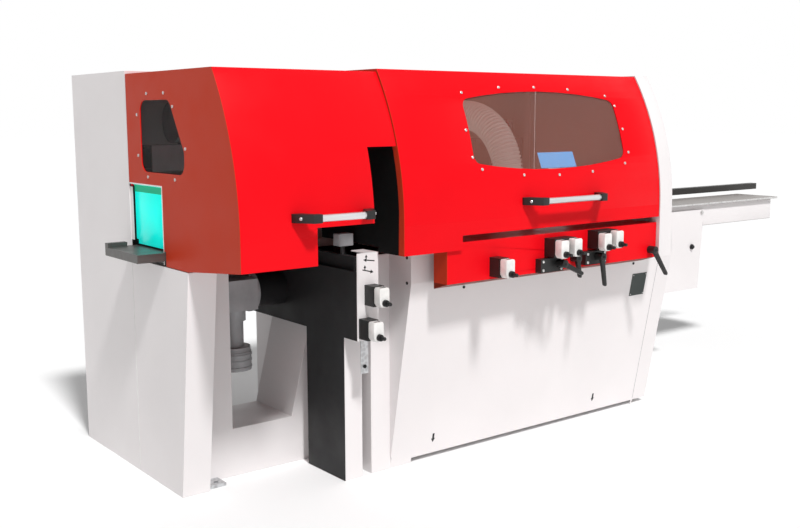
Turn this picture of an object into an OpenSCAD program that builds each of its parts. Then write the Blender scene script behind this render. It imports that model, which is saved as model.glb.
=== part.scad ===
// Four sided moulder with five cutterheads, hinged sound hoods and a long infeed table.
// Millimetres, +Z up, +X against the feed towards the infeed end, +Y towards the fence and the rear.

/* [Overall] */
// Length of the left hood over the outfeed end
left_hood_len = 640; // [600:5:700]
// Length of the right hood over the main heads
right_hood_len = 1388; // [1340:4:1440]
// Width of the white portal at the infeed end
portal_width = 80; // [60:2:110]
// Height of the rear housing above the floor
housing_top = 1513; // [1510:1:1540]
// Depth of the rear housing behind the fence
housing_depth = 534; // [500:2:600]
// Height of the table surface above the floor
table_z = 876; // [870:1:882]
// Thickness of the sheet steel covers
sheet = 4; // [3:0.5:5]

/* [Hoods] */
// Front plane of the hoods measured from the column foot
hood_front = 467; // [455:1:480]
// Radius of the curved hood front
hood_radius = 1014; // [1000:2:1060]
// Height where the hood front starts to curve
curve_z = 960; // [950:1:970]
// Step from the housing top down to the left hood
left_drop = 11; // [8:1:15]
// Step from the housing top down to the right hood
right_drop = 1; // [0:0.5:4]
// Lower edge of both hoods at the outfeed side
hood_bottom = 865; // [858:1:870]
// Lower edge of the right hood above the fascia
hood_fascia_edge = 918; // [905:1:930]
// Free play between neighbouring covers
cover_gap = 2; // [1:0.5:4]
// Radius of the hood hinge pins
pin_radius = 4; // [3.5:0.1:4.2]

/* [Windows and handles] */
// Width of the arched front window
window_width = 833; // [780:1:860]
// Height of the front window at its middle
window_height = 298; // [270:1:310]
// Middle of the front window along the machine
window_x = 1400; // [1380:1:1420]
// Drop of the front window's middle below the hood top
window_drop = 220; // [210:1:230]
// Radius of the window corners
window_corner = 34; // [20:1:45]
// Radius of the grab handle tubes
handle_radius = 12; // [9:0.5:13]
// Distance of the handle tube in front of the hood
handle_reach = 56; // [50:1:65]

/* [Base] */
// Left end of the base cabinet
base_left = 771; // [760:1:790]
// Reach of the base past the portal
base_past = 90; // [70:1:110]
// Width of the right leg
leg_width = 90; // [80:1:110]
// Front of the base cover at the floor
base_toe = 210; // [200:1:220]
// Forward lean of the base cover per unit of height
base_lean = 0.183; // [0.17:0.001:0.19]
// Underside of the machine bed
bed_bottom = 548; // [540:1:556]
// Front of the machine bed
bed_front = 305; // [300:1:308]
// Height of the levelling feet
foot_height = 20; // [15:1:25]
// Radius of the anchor bolt holes
anchor_hole = 9; // [8:0.5:10]

/* [Heads] */
// Cutting circle radius of the cutterheads
cutter_radius = 62.5; // [55:0.5:64]
// Length of the horizontal cutterheads
cutter_len = 190; // [160:2:194]
// Height of the vertical cutterheads
cutter_height = 100; // [80:1:104]
// Radius of the spindle shafts
spindle_radius = 20; // [17:0.5:22]
// Radial running clearance of shafts and slides
fit_gap = 0.05; // [0.03:0.01:0.08]
// First bottom head position along the machine
bottom1_x = 1920; // [1915:1:1924]
// Right vertical head position along the machine
right_x = 1690; // [1686:1:1694]
// Left vertical head position along the machine
left_x = 1430; // [1426:1:1434]
// Top head position along the machine
top_x = 1085; // [1075:1:1095]
// Second bottom head position along the machine
bottom2_x = 350; // [342:1:356]

/* [Feed and infeed] */
// Radius of the feed rollers
roller_radius = 70; // [60:1:72]
// Width of the feed rollers
roller_width = 60; // [45:1:64]
// Length of the infeed table beyond the portal
infeed_len = 1750; // [1500:10:2000]
// Length of the outfeed table beyond the column
outfeed_len = 105; // [80:1:130]
// Reach of the infeed rail beyond the table
rail_reach = 205; // [100:5:260]

/* [Controls] */
// Width of the position indicators
dial_w = 43; // [38:1:46]
// Depth of the black indicator bodies
dial_body_d = 55; // [45:1:60]
// Depth of the white indicator covers
dial_cover_d = 35; // [28:1:40]

/* [Extraction] */
// Outer radius of the extraction ports
port_radius = 60; // [55:1:62]
// Length of the extraction ports behind the housing
port_len = 80; // [70:1:90]
// Ribs along each hose
hose_ribs = 64; // [40:1:72]
// Wall of the hose between inner and outer ribs
hose_wall = 2.5; // [2:0.1:3]

/* [Hidden] */
$fn = 48;
far = 4000;
// Stations along the machine
split_x = left_hood_len;
hood_end_x = split_x + right_hood_len;
portal_x = hood_end_x + cover_gap;
end_x = portal_x + portal_width;
base_right = end_x + base_past;
leg_right = base_right + leg_width;
tip_x = end_x + infeed_len;
rail_x = tip_x + rail_reach;
// Stations across the machine
front_y = -hood_front;
seam_y = 363;
housing_y = seam_y + cover_gap;
back_y = housing_y + housing_depth;
hinge_y = seam_y - cover_gap;
fence_y = 356;
table_y = fence_y - 286;
bed_y = -bed_front;
bed_rear = 560;
wall_y = 540;
wall_t = 30;
// Overall limits used to centre the frame
low_x = -outfeed_len;
frame_x = (low_x + rail_x) / 2;
// Heights
plate_t = 30;
rib_top = table_z - plate_t;
shelf_z = 680;
shelf_t = 24;
column_top = 825;
left_hood_top = housing_top - left_drop;
right_hood_top = housing_top - right_drop;
window_z = right_hood_top - window_drop;
hinge_z = housing_top + 7;
knuckle_r = pin_radius + 3;
cover_top = 740;
fascia_front = 455;
fascia_left = 845;
fascia_low = 742;
fascia_high = 892;
// Heads
low_axis_z = table_z - cutter_radius;
top_axis_z = table_z + 60 + cutter_radius;
right_y = fence_y + cutter_radius;
left_y = fence_y - 120 - cutter_radius;
quill_r = 60;
arbor_r = 50;
cutter_y = fence_y + 12 - cutter_len;
cutter_z = table_z + 8;
// Travels of the slides
left_in = 55;
left_out = 75;
side_travel = 12;
top_up = 25;
top_down = 30;
low_travel = 10;
// Feed
roller_xs = [1810, 1260, 700];
roller_z = table_z + 90 + roller_radius;
beam_z = 1140;
beam_h = 100;
column_xs = [740, hood_end_x - 8];
column_y = 470;
column_r = 30;
rib_xs = [590, 860, 1300, 1560, 1820];
box_xs = [880, 1535];
box_y = -50;
hose_z = 965;
hose_bend = 280;
hose_riser = 125;
hose_axis_z = hose_z - 20 + hose_riser + hose_bend;
// Fascia controls
shaft_xs = [1077, 1367, 1441, 1615, 1686];
shaft_zs = [770, 818, 820, 827, 833];
post_xs = [606, 580];
post_zs = [695, 575];
post_y = bed_y - sheet;
dial_low = 16;
dial_high = 54;
shaft_r = 7;
shaft_out = 34;
clamp_d = 30;
clamp_xs = [1358, 1612];
clamp_half = 62;
clamp_zs = [[744, 798], [752, 806]];
lever_xs = [1395, 1618, 1985, 1506];
lever_ys = [-fascia_front - clamp_d, -fascia_front - clamp_d, -fascia_front, -fascia_front];
lever_zs = [776, 784, 778, 784];
lever_angles = [-27, -88, -58, -90];
lever_arms = [98, 112, 126, 70];
lever_r = 6;
// Grips
grip_left = [193, 500];
grip_right = [1216, 1646];
grip_z = 1027;
// Hood hinges and the outfeed flap
left_hinges = [left_hood_len * 0.45, left_hood_len * 0.88];
right_hinges = [split_x + right_hood_len * 0.2, split_x + right_hood_len * 0.8];
end_window_points = [[243, 1405], [5, 1405], [-102, 1228], [-98, 1153], [243, 1153]];
flap_x = sheet + 6;
flap_top = 1104;
flap_z = flap_top + 2;
flap_ends = [66, 343];
// Front posts and the infeed support
nose_right = 645;
nose_top = 866;
post_front = -212;
crank_x = leg_right + 780;
crank_z = 643;
guide_xs = [leg_right + 120, leg_right + 720];
guide_y = 245;
// Hose path from the chip box to the rear port
hose_in_r = port_radius - 3;
hose_run = back_y - sheet - 20 - (box_y + hose_bend);
hose_arc = hose_bend * PI / 2;
hose_total = hose_riser + hose_arc + hose_run;
// Overall limits across the machine, used to centre the frame
low_y = -fascia_front - dial_body_d - dial_cover_d - shaft_out;
frame_y = (low_y + back_y + port_len) / 2;

// Shared shapes
module box(x, y, z) {
  translate([x[0], y[0], z[0]]) cube([x[1] - x[0], y[1] - y[0], z[1] - z[0]]);
}

module rod_x(x, y, z, r) {
  translate([x[0], y, z]) rotate([0, 90, 0]) cylinder(r = r, h = x[1] - x[0]);
}

module rod_y(x, y, z, r) {
  translate([x, y[0], z]) rotate([-90, 0, 0]) cylinder(r = r, h = y[1] - y[0]);
}

module rod_z(x, y, z, r) {
  translate([x, y, z[0]]) cylinder(r = r, h = z[1] - z[0]);
}

// Plate drawn in the side view, points are [y, z]
module side_plate(x, points) {
  translate([x[0], 0, 0]) rotate([90, 0, 90]) linear_extrude(x[1] - x[0]) polygon(points);
}

// Prism drawn in the front view, points are [x, z]
module front_prism(y, points) {
  translate([0, y[1], 0]) rotate([90, 0, 0]) linear_extrude(y[1] - y[0]) polygon(points);
}

module in_frame() {
  translate([-frame_x, -frame_y, 0]) children();
}

function cover_y(z) = -base_toe - base_lean * z;

// Corner of an outline rounded with a radius
function unit(v) = v / norm(v);
function corner_arc(a, p, b, r, n) = let (
    u = unit(a - p), w = unit(b - p), half = acos(u * w) / 2,
    m = unit(u + w), c = p + m * r / sin(half),
    s = p + u * r / tan(half), e = p + w * r / tan(half),
    t0 = atan2(s[1] - c[1], s[0] - c[0]), d = atan2(e[1] - c[1], e[0] - c[0]) - t0,
    turn = d > 180 ? d - 360 : d < -180 ? d + 360 : d)
  [for (i = [0:n]) c + r * [cos(t0 + turn * i / n), sin(t0 + turn * i / n)]];
function rounded(p, r, n = 6) = [for (i = [0:len(p) - 1])
  each corner_arc(p[(i + len(p) - 1) % len(p)], p[i], p[(i + 1) % len(p)], r, n)];

// Solid inside the hood outline, used to build the sheet shells
module hood_form(x, top, grow, low) {
  lift = top - left_hood_top;
  intersection() {
    rod_x(x, front_y + hood_radius, curve_z + lift, hood_radius + grow, $fn = 180);
    box(x, [front_y - 20, hinge_y - (grow < 0 ? -grow : 0)], [curve_z + lift, top + grow]);
  }
  box(x, [front_y - grow, hinge_y], [low, curve_z + lift]);
}

// Fixed frame
module outfeed_column() {
  leg_w = 108;
  inner_x = 252;
  inner_y = 86;
  top_lean = 101;
  wall = 6;
  color("gainsboro") low_beam();
  color("gainsboro") difference() {
    union() {
      side_plate([0, leg_w], [[0, 0], [seam_y, 0], [seam_y, column_top], [-top_lean, column_top]]);
      box([leg_w, inner_x], [inner_y, seam_y], [0, column_top]);
    }
    box([wall, leg_w - wall], [wall, seam_y - wall], [-1, column_top - wall]);
    box([leg_w - wall - 1, inner_x - wall], [inner_y + wall, seam_y - wall], [-1, column_top - wall]);
  }
}

module low_beam() {
  y = [86, seam_y];
  wall = 8;
  outline = [[251, 0], [690, 0], [690, bed_bottom], [600, bed_bottom], [511, 185], [251, 185]];
  hollow = [[252, -1], [682, -1], [682, bed_bottom - wall], [606, bed_bottom - wall], [517, 177], [252, 177]];
  difference() {
    front_prism(y, outline);
    front_prism([y[0] + wall, y[1] - wall], hollow);
  }
}

module bed_end_cover() {
  color([0.14, 0.14, 0.14]) side_plate([551, 555],
    [[-218, 0], [31, 0], [31, bed_bottom], [bed_rear, bed_bottom], [bed_rear, 800], [bed_y, 800],
     [bed_y, bed_bottom], [-218, bed_bottom]]);
}

module front_posts() {
  wall = 6;
  color("whitesmoke") {
    difference() {
      box([555, nose_right - 12], [-218, 31], [0, bed_bottom]);
      box([555 + wall, nose_right - 12 - wall], [-218 + wall, 31 - wall], [-1, bed_bottom - wall]);
    }
    difference() {
      box([679, base_left], [post_front, -120], [0, bed_bottom]);
      box([679 + wall, base_left - wall], [post_front + wall, -120 - wall], [-1, bed_bottom - wall]);
    }
    box([679, base_left], [post_front, post_front + wall], [bed_bottom - wall, 838]);
    difference() {
      union() {
        box([551, nose_right], [post_y, bed_y], [bed_bottom, nose_top]);
        box([590, nose_right], [post_y, post_front - 4], [nose_top - sheet, nose_top]);
      }
      for (i = [0, 1]) rod_y(post_xs[i], [post_y - 1, bed_y + 1], post_zs[i], shaft_r + fit_gap);
    }
  }
}

module base_cabinet() {
  wall = 8;
  low = foot_height;
  bay_x = [base_left, base_left + 327];
  bay_y = 806;
  color("gainsboro") difference() {
    union() {
      side_plate([base_left, base_right], [[cover_y(low) + sheet, low], [bed_rear, low],
        [bed_rear, bed_bottom], [cover_y(bed_bottom) + sheet, bed_bottom]]);
      box(bay_x, [bed_rear - 1, bay_y], [low, bed_bottom]);
    }
    side_plate([base_left + wall, base_right - wall], [[cover_y(low) + sheet + wall, low + wall],
      [bed_rear - wall, low + wall], [bed_rear - wall, bed_bottom + 1],
      [cover_y(bed_bottom + 1) + sheet + wall, bed_bottom + 1]]);
    box([bay_x[0] + wall, bay_x[1] - wall], [bed_rear, bay_y - wall], [low - 1, bed_bottom - wall]);
  }
}

module base_front_cover() {
  foot_w = 100;
  top = hood_bottom - 9;
  y = cover_y(cover_top);
  toe_z = (6 - post_front - base_toe) / base_lean;
  color("whitesmoke") {
    difference() {
      side_plate([base_left - sheet, base_right], [[cover_y(0), 0], [cover_y(0) + sheet, 0],
        [y + sheet, cover_top], [y + sheet, top], [y, top], [y, cover_top]]);
      box([base_left + foot_w, base_right - 8], [-300, -100], [-1, foot_height]);
      box([fascia_left + 55, base_right + 1], [-500, -100], [cover_top, top + 1]);
      box([base_left - sheet - 1, base_left], [-500, -100], [-1, toe_z]);
    }
    side_plate([base_left - sheet, base_left], [[post_front, toe_z], [post_front, top], [y + 2, top],
      [y + 2, cover_top], [cover_y(toe_z) + 2, toe_z]]);
  }
}

module right_leg() {
  wall = 6;
  low = foot_height;
  top = rib_top;
  color("whitesmoke") difference() {
    side_plate([base_right, leg_right], [[cover_y(low), low], [bed_rear, low], [bed_rear, top],
      [bed_y - 30, top], [cover_y(cover_top), cover_top]]);
    side_plate([base_right + wall, leg_right - wall], [[cover_y(low) + wall, low + wall],
      [bed_rear - wall, low + wall], [bed_rear - wall, top - wall], [bed_y + wall - 30, top - wall],
      [cover_y(cover_top) + wall, cover_top - wall]]);
  }
}

// Bed casting with a shelf for the vertical heads and cross ribs under the tables
module machine_bed() {
  wall = 24;
  x = [555, base_right];
  color([0.2, 0.2, 0.21]) difference() {
    union() {
      box(x, [bed_y, bed_y + wall], [bed_bottom, 770]);
      box([nose_right - wall, nose_right], [bed_y, post_front + 40], [bed_bottom, 770]);
      box([nose_right - wall, base_left], [post_front + 6, post_front + 30], [bed_bottom, 770]);
      box([base_left, base_left + wall], [bed_y, post_front + 30], [bed_bottom, 770]);
      box(x, [bed_rear - wall, bed_rear], [bed_bottom, rib_top]);
      box([x[0], x[0] + wall], [bed_y, bed_rear], [bed_bottom, 770]);
      box([x[0], x[0] + wall], [table_y, bed_rear], [bed_bottom, rib_top]);
      box([x[1] - wall, x[1]], [bed_y, bed_rear], [bed_bottom, rib_top]);
      box(x, [bed_y, bed_rear], [shelf_z - shelf_t, shelf_z]);
      for (rx = rib_xs) box([rx - 12, rx + 12], [bed_y, bed_rear], [shelf_z - 1, 770]);
      for (rx = rib_xs) box([rx - 12, rx + 12], [-250, bed_rear], [shelf_z - 1, rib_top]);
      for (cx = column_xs) box([cx - 32, cx + 32], [table_y, bed_rear], [shelf_z - 1, rib_top]);
      box([end_x - 14, end_x + 10], [bed_y, bed_rear], [shelf_z - 1, rib_top]);
    }
    for (y = [left_y - left_out, left_y, left_y + left_in]) rod_z(left_x, y, [600, 700], quill_r + 3);
    box([left_x - quill_r - 3, left_x + quill_r + 3], [left_y - left_out, left_y + left_in], [600, 700]);
    box([right_x - quill_r - 3, right_x + quill_r + 3],
      [right_y - side_travel, right_y + side_travel], [600, 700]);
    for (y = [-side_travel, side_travel]) rod_z(right_x, right_y + y, [600, 700], quill_r + 3);
    rod_y(bottom1_x, [bed_rear - wall - 1, bed_rear + 1], low_axis_z, arbor_r);
    box([nose_right, base_left], [bed_y - 1, post_front + 6], [bed_bottom - 1, rib_top + 1]);
    for (i = [0, 1]) rod_y(post_xs[i], [bed_y - 1, bed_y + wall + 40], post_zs[i], shaft_r + fit_gap);
  }
}

module bed_plates() {
  color([0.5, 0.47, 0.45]) difference() {
    box([581, end_x], [table_y, fence_y + 20], [rib_top, table_z]);
    box([bottom1_x - 72, bottom1_x + 72], [fence_y - 190, fence_y + 21], [rib_top - 1, table_z + 1]);
    box([right_x - 80, right_x + 80], [right_y - quill_r - 20, fence_y + 21], [rib_top - 1, table_z + 1]);
    box([left_x - 70, left_x + 70], [table_y - 1, left_y + left_in + quill_r + 4],
      [rib_top - 1, table_z + 1]);
  }
}

module outfeed_table() {
  color([0.32, 0.31, 0.3]) {
    difference() {
      box([low_x, 579], [table_y, fence_y], [rib_top, table_z]);
      box([bottom2_x - 75, bottom2_x + 75], [fence_y - 206, fence_y + 1], [rib_top - 1, table_z + 1]);
    }
    box([20, 240], [120, 340], [column_top, rib_top]);
    box([low_x, -30], [fence_y - 26, fence_y], [table_z, table_z + 16]);
  }
}

module guide_fence() {
  y = [fence_y, fence_y + 20];
  z = [table_z, table_z + 52];
  color([0.28, 0.28, 0.29]) {
    box([581, top_x - 66], y, z);
    box([top_x + 66, right_x - 82], y, z);
    box([right_x + 82, end_x - 8], y, z);
  }
}

module head_wall() {
  y = [wall_y, wall_y + wall_t];
  color([0.3, 0.3, 0.31]) difference() {
    union() {
      box([sheet, end_x - sheet], y, [rib_top, 1105]);
      box([sheet, 549], y, [704, rib_top]);
    }
    box([top_x - arbor_r - 2, top_x + arbor_r + 2], [wall_y - 1, wall_y + wall_t + 1],
      [top_axis_z - arbor_r - top_down - 2, top_axis_z + arbor_r + top_up + 2]);
    box([bottom2_x - arbor_r - 2, bottom2_x + arbor_r + 2], [wall_y - 1, wall_y + wall_t + 1],
      [low_axis_z - arbor_r - low_travel - 2, low_axis_z + arbor_r + low_travel + 2]);
    box([bottom1_x - 95, bottom1_x + 95], [wall_y - 1, wall_y + wall_t + 1], [rib_top - 1, low_axis_z + 95]);
  }
}

// Fixed half of one hood hinge with its pin
module hinge_fixed(x) {
  for (s = [-1, 1]) {
    rod_x([x + s * 37 - 12, x + s * 37 + 12], hinge_y + 1, hinge_z, knuckle_r);
    box([x + s * 37 - 12, x + s * 37 + 12], [hinge_y + 1, hinge_y + 14], [housing_top - 1, hinge_z]);
  }
  rod_x([x - 52, x + 52], hinge_y + 1, hinge_z, pin_radius);
  box([x - 60, x + 60], [hinge_y + knuckle_r + 2, housing_y + 40], [housing_top - 1, housing_top + 4]);
}

// Moving half of one hood hinge, placed on a hood top
module hinge_moving(x, top) {
  difference() {
    union() {
      rod_x([x - 24, x + 24], hinge_y + 1, hinge_z, knuckle_r);
      box([x - 24, x + 24], [hinge_y - 16, hinge_y + 1], [top - 1, hinge_z]);
      box([x - 50, x + 50], [hinge_y - 56, hinge_y - 6], [top - 1, top + 4]);
    }
    rod_x([x - 51, x + 51], hinge_y + 1, hinge_z, pin_radius + fit_gap);
  }
}

module rear_housing() {
  t = sheet;
  color("whitesmoke") {
    difference() {
      union() {
        box([0, t], [housing_y, back_y], [0, housing_top]);
        box([0, 252], [back_y - t, back_y], [0, housing_top]);
        box([252 - t, 252], [housing_y, back_y], [0, 700]);
        box([0, 252], [housing_y, housing_y + t], [0, 700]);
        box([0, end_x], [back_y - t, back_y], [700, housing_top]);
        box([0, end_x], [housing_y, back_y], [housing_top - t, housing_top]);
        box([0, end_x], [housing_y, housing_y + t], [housing_top - 60, housing_top]);
        box([0, 549], [housing_y, back_y], [700, 704]);
        box([0, end_x], [wall_y + wall_t, back_y], [700, 704]);
        box([end_x - t, end_x], [housing_y, back_y], [rib_top, housing_top]);
        box([end_x - t, end_x], [wall_y + wall_t, back_y], [700, housing_top]);
      }
      for (bx = box_xs) rod_y(bx, [back_y - t - 1, back_y + 1], hose_axis_z, port_radius - 3);
      box([end_x - t - 1, end_x + 1], [housing_y - 1, housing_y + 60], [rib_top - 1, 1080]);
    }
    for (x = left_hinges) hinge_fixed(x);
    for (x = right_hinges) hinge_fixed(x);
  }
}

module electrical_cabinet() {
  x = [1100, leg_right];
  y = [bed_rear + 4, back_y];
  color("gainsboro") {
    difference() {
      box(x, y, [foot_height, 700]);
      box([x[0] + 4, x[1] - 4], [y[0] + 4, y[1] + 1], [foot_height + 4, 696]);
    }
    box([x[0] + 3, x[0] + 590], [back_y - 24, back_y - 4], [foot_height + 3, 697]);
    box([x[0] + 594, x[1] - 3], [back_y - 24, back_y - 4], [foot_height + 3, 697]);
  }
}

module infeed_portal() {
  t = sheet;
  top = right_hood_top;
  open_y = [fence_y - 210, hinge_y + 4];
  color("whitesmoke") difference() {
    union() {
      difference() {
        hood_form([portal_x, end_x], top, 4, fascia_low);
        hood_form([portal_x - 1, end_x - t], top, 0, fascia_low + t);
        box([portal_x - 1, end_x - t], [bed_y, far], [fascia_low - 1, fascia_low + 40]);
      }
      difference() {
        hood_form([portal_x, portal_x + t], top, 4, fascia_low);
        hood_form([portal_x - 1, portal_x + t + 1], top, -40, fascia_low - 1);
      }
    }
    box([portal_x - 1, end_x + 1], [bed_y, far], [fascia_low - 1, rib_top]);
    box([end_x - t - 1, end_x + 1], open_y, [rib_top - 1, 1080]);
    box([portal_x - 1, end_x + 1], [fence_y - 290, far], [rib_top - 1, table_z]);
  }
}

module control_fascia() {
  t = sheet;
  x = [fascia_left, hood_end_x];
  y = [-fascia_front, bed_y];
  back = y[0] + 75;
  drop = 24;
  color("red") {
    difference() {
      side_plate(x, [[y[0], fascia_low], [back, fascia_low - drop], [back, fascia_high],
        [y[0], fascia_high]]);
      side_plate([x[0] + t, x[1] - t], [[y[0] + t, fascia_low + t - 1], [back + 1, fascia_low - drop + t],
        [back + 1, fascia_high - t], [y[0] + t, fascia_high - t]]);
      for (i = [0:4]) rod_y(shaft_xs[i], [y[0] - 1, y[0] + t + 1], shaft_zs[i], shaft_r + fit_gap);
    }
    box(x, [back - 1, y[1]], [fascia_high - t, fascia_high]);
    box([x[1] - t, x[1]], [back - 1, y[1]], [fascia_low, fascia_high]);
  }
}

// Box under the infeed table, its guide pins carry the table
module infeed_support() {
  x_right = leg_right + 880;
  y = [120, 340];
  color("whitesmoke") {
    difference() {
      front_prism([y[0], y[0] + sheet],
        [[leg_right, 411], [x_right - 32, 411], [x_right, 840], [leg_right, 840]]);
      rod_y(crank_x, [y[0] - 1, y[0] + sheet + 1], crank_z, shaft_r + 1 + fit_gap);
    }
    difference() {
      box([leg_right, x_right - 60], [y[0] + sheet, y[1]], [411, 760]);
      box([leg_right - 1, x_right - 64], [y[0] + sheet - 1, y[1] - sheet], [415, 752]);
    }
    for (gx = guide_xs) rod_z(gx, guide_y, [759, 836], 15);
  }
}

module anchor_feet() {
  spread = 46;
  ys = [43, back_y + port_len / 2];
  color([0.3, 0.3, 0.3]) {
    difference() {
      union() {
        box([108, 182], [16, 86], [0, 12]);
        box([leg_right, leg_right + 92], [0, 86], [0, 12]);
        box([108, 200], [back_y, back_y + port_len - 4], [0, 12]);
        box([leg_right, leg_right + 92], [back_y - 30, back_y + port_len], [0, 12]);
        box([leg_right - 60, leg_right + 1], [0, 86], [0, 12]);
        box([leg_right - 60, leg_right + 1], [back_y - 80, back_y - 20], [0, 12]);
      }
      for (ax = [154, leg_right + spread]) for (ay = ys) rod_z(ax, ay, [-1, 13], anchor_hole);
    }
    rod_z(leg_right - 30, 43, [11, foot_height], 14);
    rod_z(leg_right - 30, back_y - 50, [11, foot_height], 14);
    for (fx = [base_left + 60, base_right - 60]) for (fy = [-130, bed_rear - 60]) {
      rod_z(fx, fy, [0, 10], 36);
      rod_z(fx, fy, [9, foot_height], 14);
    }
    for (fx = [1160, leg_right - 200]) {
      rod_z(fx, back_y - 50, [0, 10], 36);
      rod_z(fx, back_y - 50, [9, foot_height], 14);
    }
  }
}

// Chip boxes beside the heads and the round ports behind the housing
module extraction_ducts() {
  half = 80;
  color([0.72, 0.73, 0.75]) {
    for (bx = box_xs) {
      difference() {
        box([bx - half, bx + half], [box_y - 85, box_y + 85], [rib_top, hose_z - 20]);
        box([bx - half + 3, bx + half - 3], [box_y - 82, box_y + 86], [rib_top + 3, hose_z - 23]);
        rod_z(bx, box_y, [hose_z - 30, hose_z], port_radius - 6);
      }
      difference() {
        rod_z(bx, box_y, [hose_z - 20, hose_z + 40], hose_in_r);
        rod_z(bx, box_y, [hose_z - 21, hose_z + 41], hose_in_r - 3);
      }
      difference() {
        union() {
          rod_y(bx, [back_y, back_y + port_len], hose_axis_z, port_radius);
          rod_y(bx, [back_y, back_y + 4], hose_axis_z, port_radius + 18);
          rod_y(bx, [back_y - 60, back_y + 1], hose_axis_z, hose_in_r);
        }
        rod_y(bx, [back_y - 61, back_y + port_len + 1], hose_axis_z, hose_in_r - 3);
      }
    }
  }
}

// Ribbed hose swept along a riser, a quarter bend and a run to the rear
function hose_point(s) =
  s < hose_riser ? [0, s] :
  s < hose_riser + hose_arc ? let (a = (s - hose_riser) / hose_bend * 180 / PI)
    [hose_bend * (1 - cos(a)), hose_riser + hose_bend * sin(a)] :
  [hose_bend + s - hose_riser - hose_arc, hose_riser + hose_bend];
function hose_turn(s) =
  s < hose_riser ? 0 : s < hose_riser + hose_arc ? (s - hose_riser) / hose_bend * 180 / PI : 90;
function hose_ring(s, r, n) = let (p = hose_point(s), a = hose_turn(s))
  [for (i = [0:n - 1]) let (t = 360 * i / n)
  [r * cos(t), p[0] + r * sin(t) * cos(a), p[1] - r * sin(t) * sin(a)]];

module ribbed_hose() {
  n = 12;
  steps = hose_ribs * 2;
  bore = 2 * round(hose_ribs / 4);
  wide = (hose_in_r + 0.3) / cos(180 / n);
  low = wide + hose_wall;
  outer = [for (i = [0:steps]) each hose_ring(hose_total * i / steps, i % 2 == 0 ? low : low + 3, n)];
  inner = [for (i = [0:bore]) each hose_ring(hose_total * i / bore, wide, n)];
  k = len(outer);
  quads = [for (i = [0:steps - 1]) for (j = [0:n - 1])
    [i * n + j, (i + 1) * n + j, (i + 1) * n + (j + 1) % n, i * n + (j + 1) % n]];
  inner_quads = [for (i = [0:bore - 1]) for (j = [0:n - 1])
    [k + i * n + j, k + i * n + (j + 1) % n, k + (i + 1) * n + (j + 1) % n, k + (i + 1) * n + j]];
  first = [for (j = [0:n - 1]) [j, (j + 1) % n, k + (j + 1) % n, k + j]];
  last = [for (j = [0:n - 1])
    [steps * n + j, k + bore * n + j, k + bore * n + (j + 1) % n, steps * n + (j + 1) % n]];
  polyhedron(points = concat(outer, inner), faces = concat(quads, inner_quads, first, last), convexity = 6);
}

module extraction_hoses() {
  color([0.85, 0.85, 0.82]) for (bx = box_xs) translate([bx, box_y, hose_z - 20]) ribbed_hose();
}

// Vertical motor with a bevel case flanged to the dark end cover
module gearmotor() {
  x = 335;
  y = 212;
  out_y = 226;
  out_z = 676;
  color([0.45, 0.46, 0.48]) {
    box([x - 55, x + 70], [y - 70, y + 70], [616, 735]);
    rod_x([x + 69, 420], out_y, out_z, 80);
    rod_x([419, 551], out_y, out_z, 66);
    rod_z(x, y, [572, 617], 47);
    rod_z(x, y, [470, 573], 37);
    rod_z(x, y, [452, 471], 62);
    rod_z(x, y, [380, 453], 65);
  }
}

module guide_columns() {
  color("silver") for (cx = column_xs) rod_z(cx, column_y, [rib_top, 1330], column_r);
}

// Indicator block on its mounting plane, carrying one shaft or a pair
module dial_block(xs, zs, y) {
  n = len(xs) - 1;
  h = dial_w / 2 + 2;
  difference() {
    box([xs[0] - h, xs[n] + h], [y - dial_body_d, y], [max(zs) - dial_low - 1, max(zs) + dial_high + 2]);
    for (i = [0:n]) rod_y(xs[i], [y - dial_body_d - 1, y + 1], zs[i], shaft_r + fit_gap);
  }
}

module control_mounts() {
  y = -fascia_front;
  color([0.08, 0.08, 0.08]) {
    dial_block([shaft_xs[0]], [shaft_zs[0]], y);
    dial_block([shaft_xs[1], shaft_xs[2]], [shaft_zs[1], shaft_zs[2]], y);
    dial_block([shaft_xs[3], shaft_xs[4]], [shaft_zs[3], shaft_zs[4]], y);
    for (i = [0, 1]) dial_block([post_xs[i]], [post_zs[i]], post_y);
    for (i = [0, 1]) box([clamp_xs[i] - clamp_half, clamp_xs[i] + clamp_half], [y - clamp_d, y],
      clamp_zs[i]);
    for (i = [0:3]) rod_y(lever_xs[i], [lever_ys[i] - 30, lever_ys[i]], lever_zs[i], lever_r);
  }
}

// White cover of one indicator with a reading window and a shaft hole
module dial_cover(x, y, z) {
  h = dial_w / 2;
  front = y - dial_body_d - dial_cover_d;
  difference() {
    front_prism([front, y - dial_body_d], rounded([[x - h, z - dial_low], [x + h, z - dial_low],
      [x + h, z + dial_high], [x - h, z + dial_high]], 7));
    rod_y(x, [front - 1, y], z, shaft_r + 2);
    box([x - 13, x + 13], [front - 1, front + 3], [z + 26, z + 38]);
  }
}

module indicator_covers() {
  color("whitesmoke") {
    for (i = [0:4]) dial_cover(shaft_xs[i], -fascia_front, shaft_zs[i]);
    for (i = [0, 1]) dial_cover(post_xs[i], post_y, post_zs[i]);
  }
}

// Spindle motor drawn along Y behind an arbor housing
module motor_y(x, z, y) {
  difference() {
    union() {
      rod_y(x, [fence_y + 24, y + 1], z, arbor_r);
      rod_y(x, [y, y + 200], z, 78);
      for (a = [0:30:330]) translate([x, y + 12, z]) rotate([0, a, 0]) translate([74, 0, -2])
        cube([11, 176, 4]);
    }
    rod_y(x, [fence_y, y - 40], z, spindle_radius + fit_gap);
  }
}

module first_bottom_unit() {
  color([0.35, 0.37, 0.4]) motor_y(bottom1_x, low_axis_z, wall_y + wall_t);
}

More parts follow.
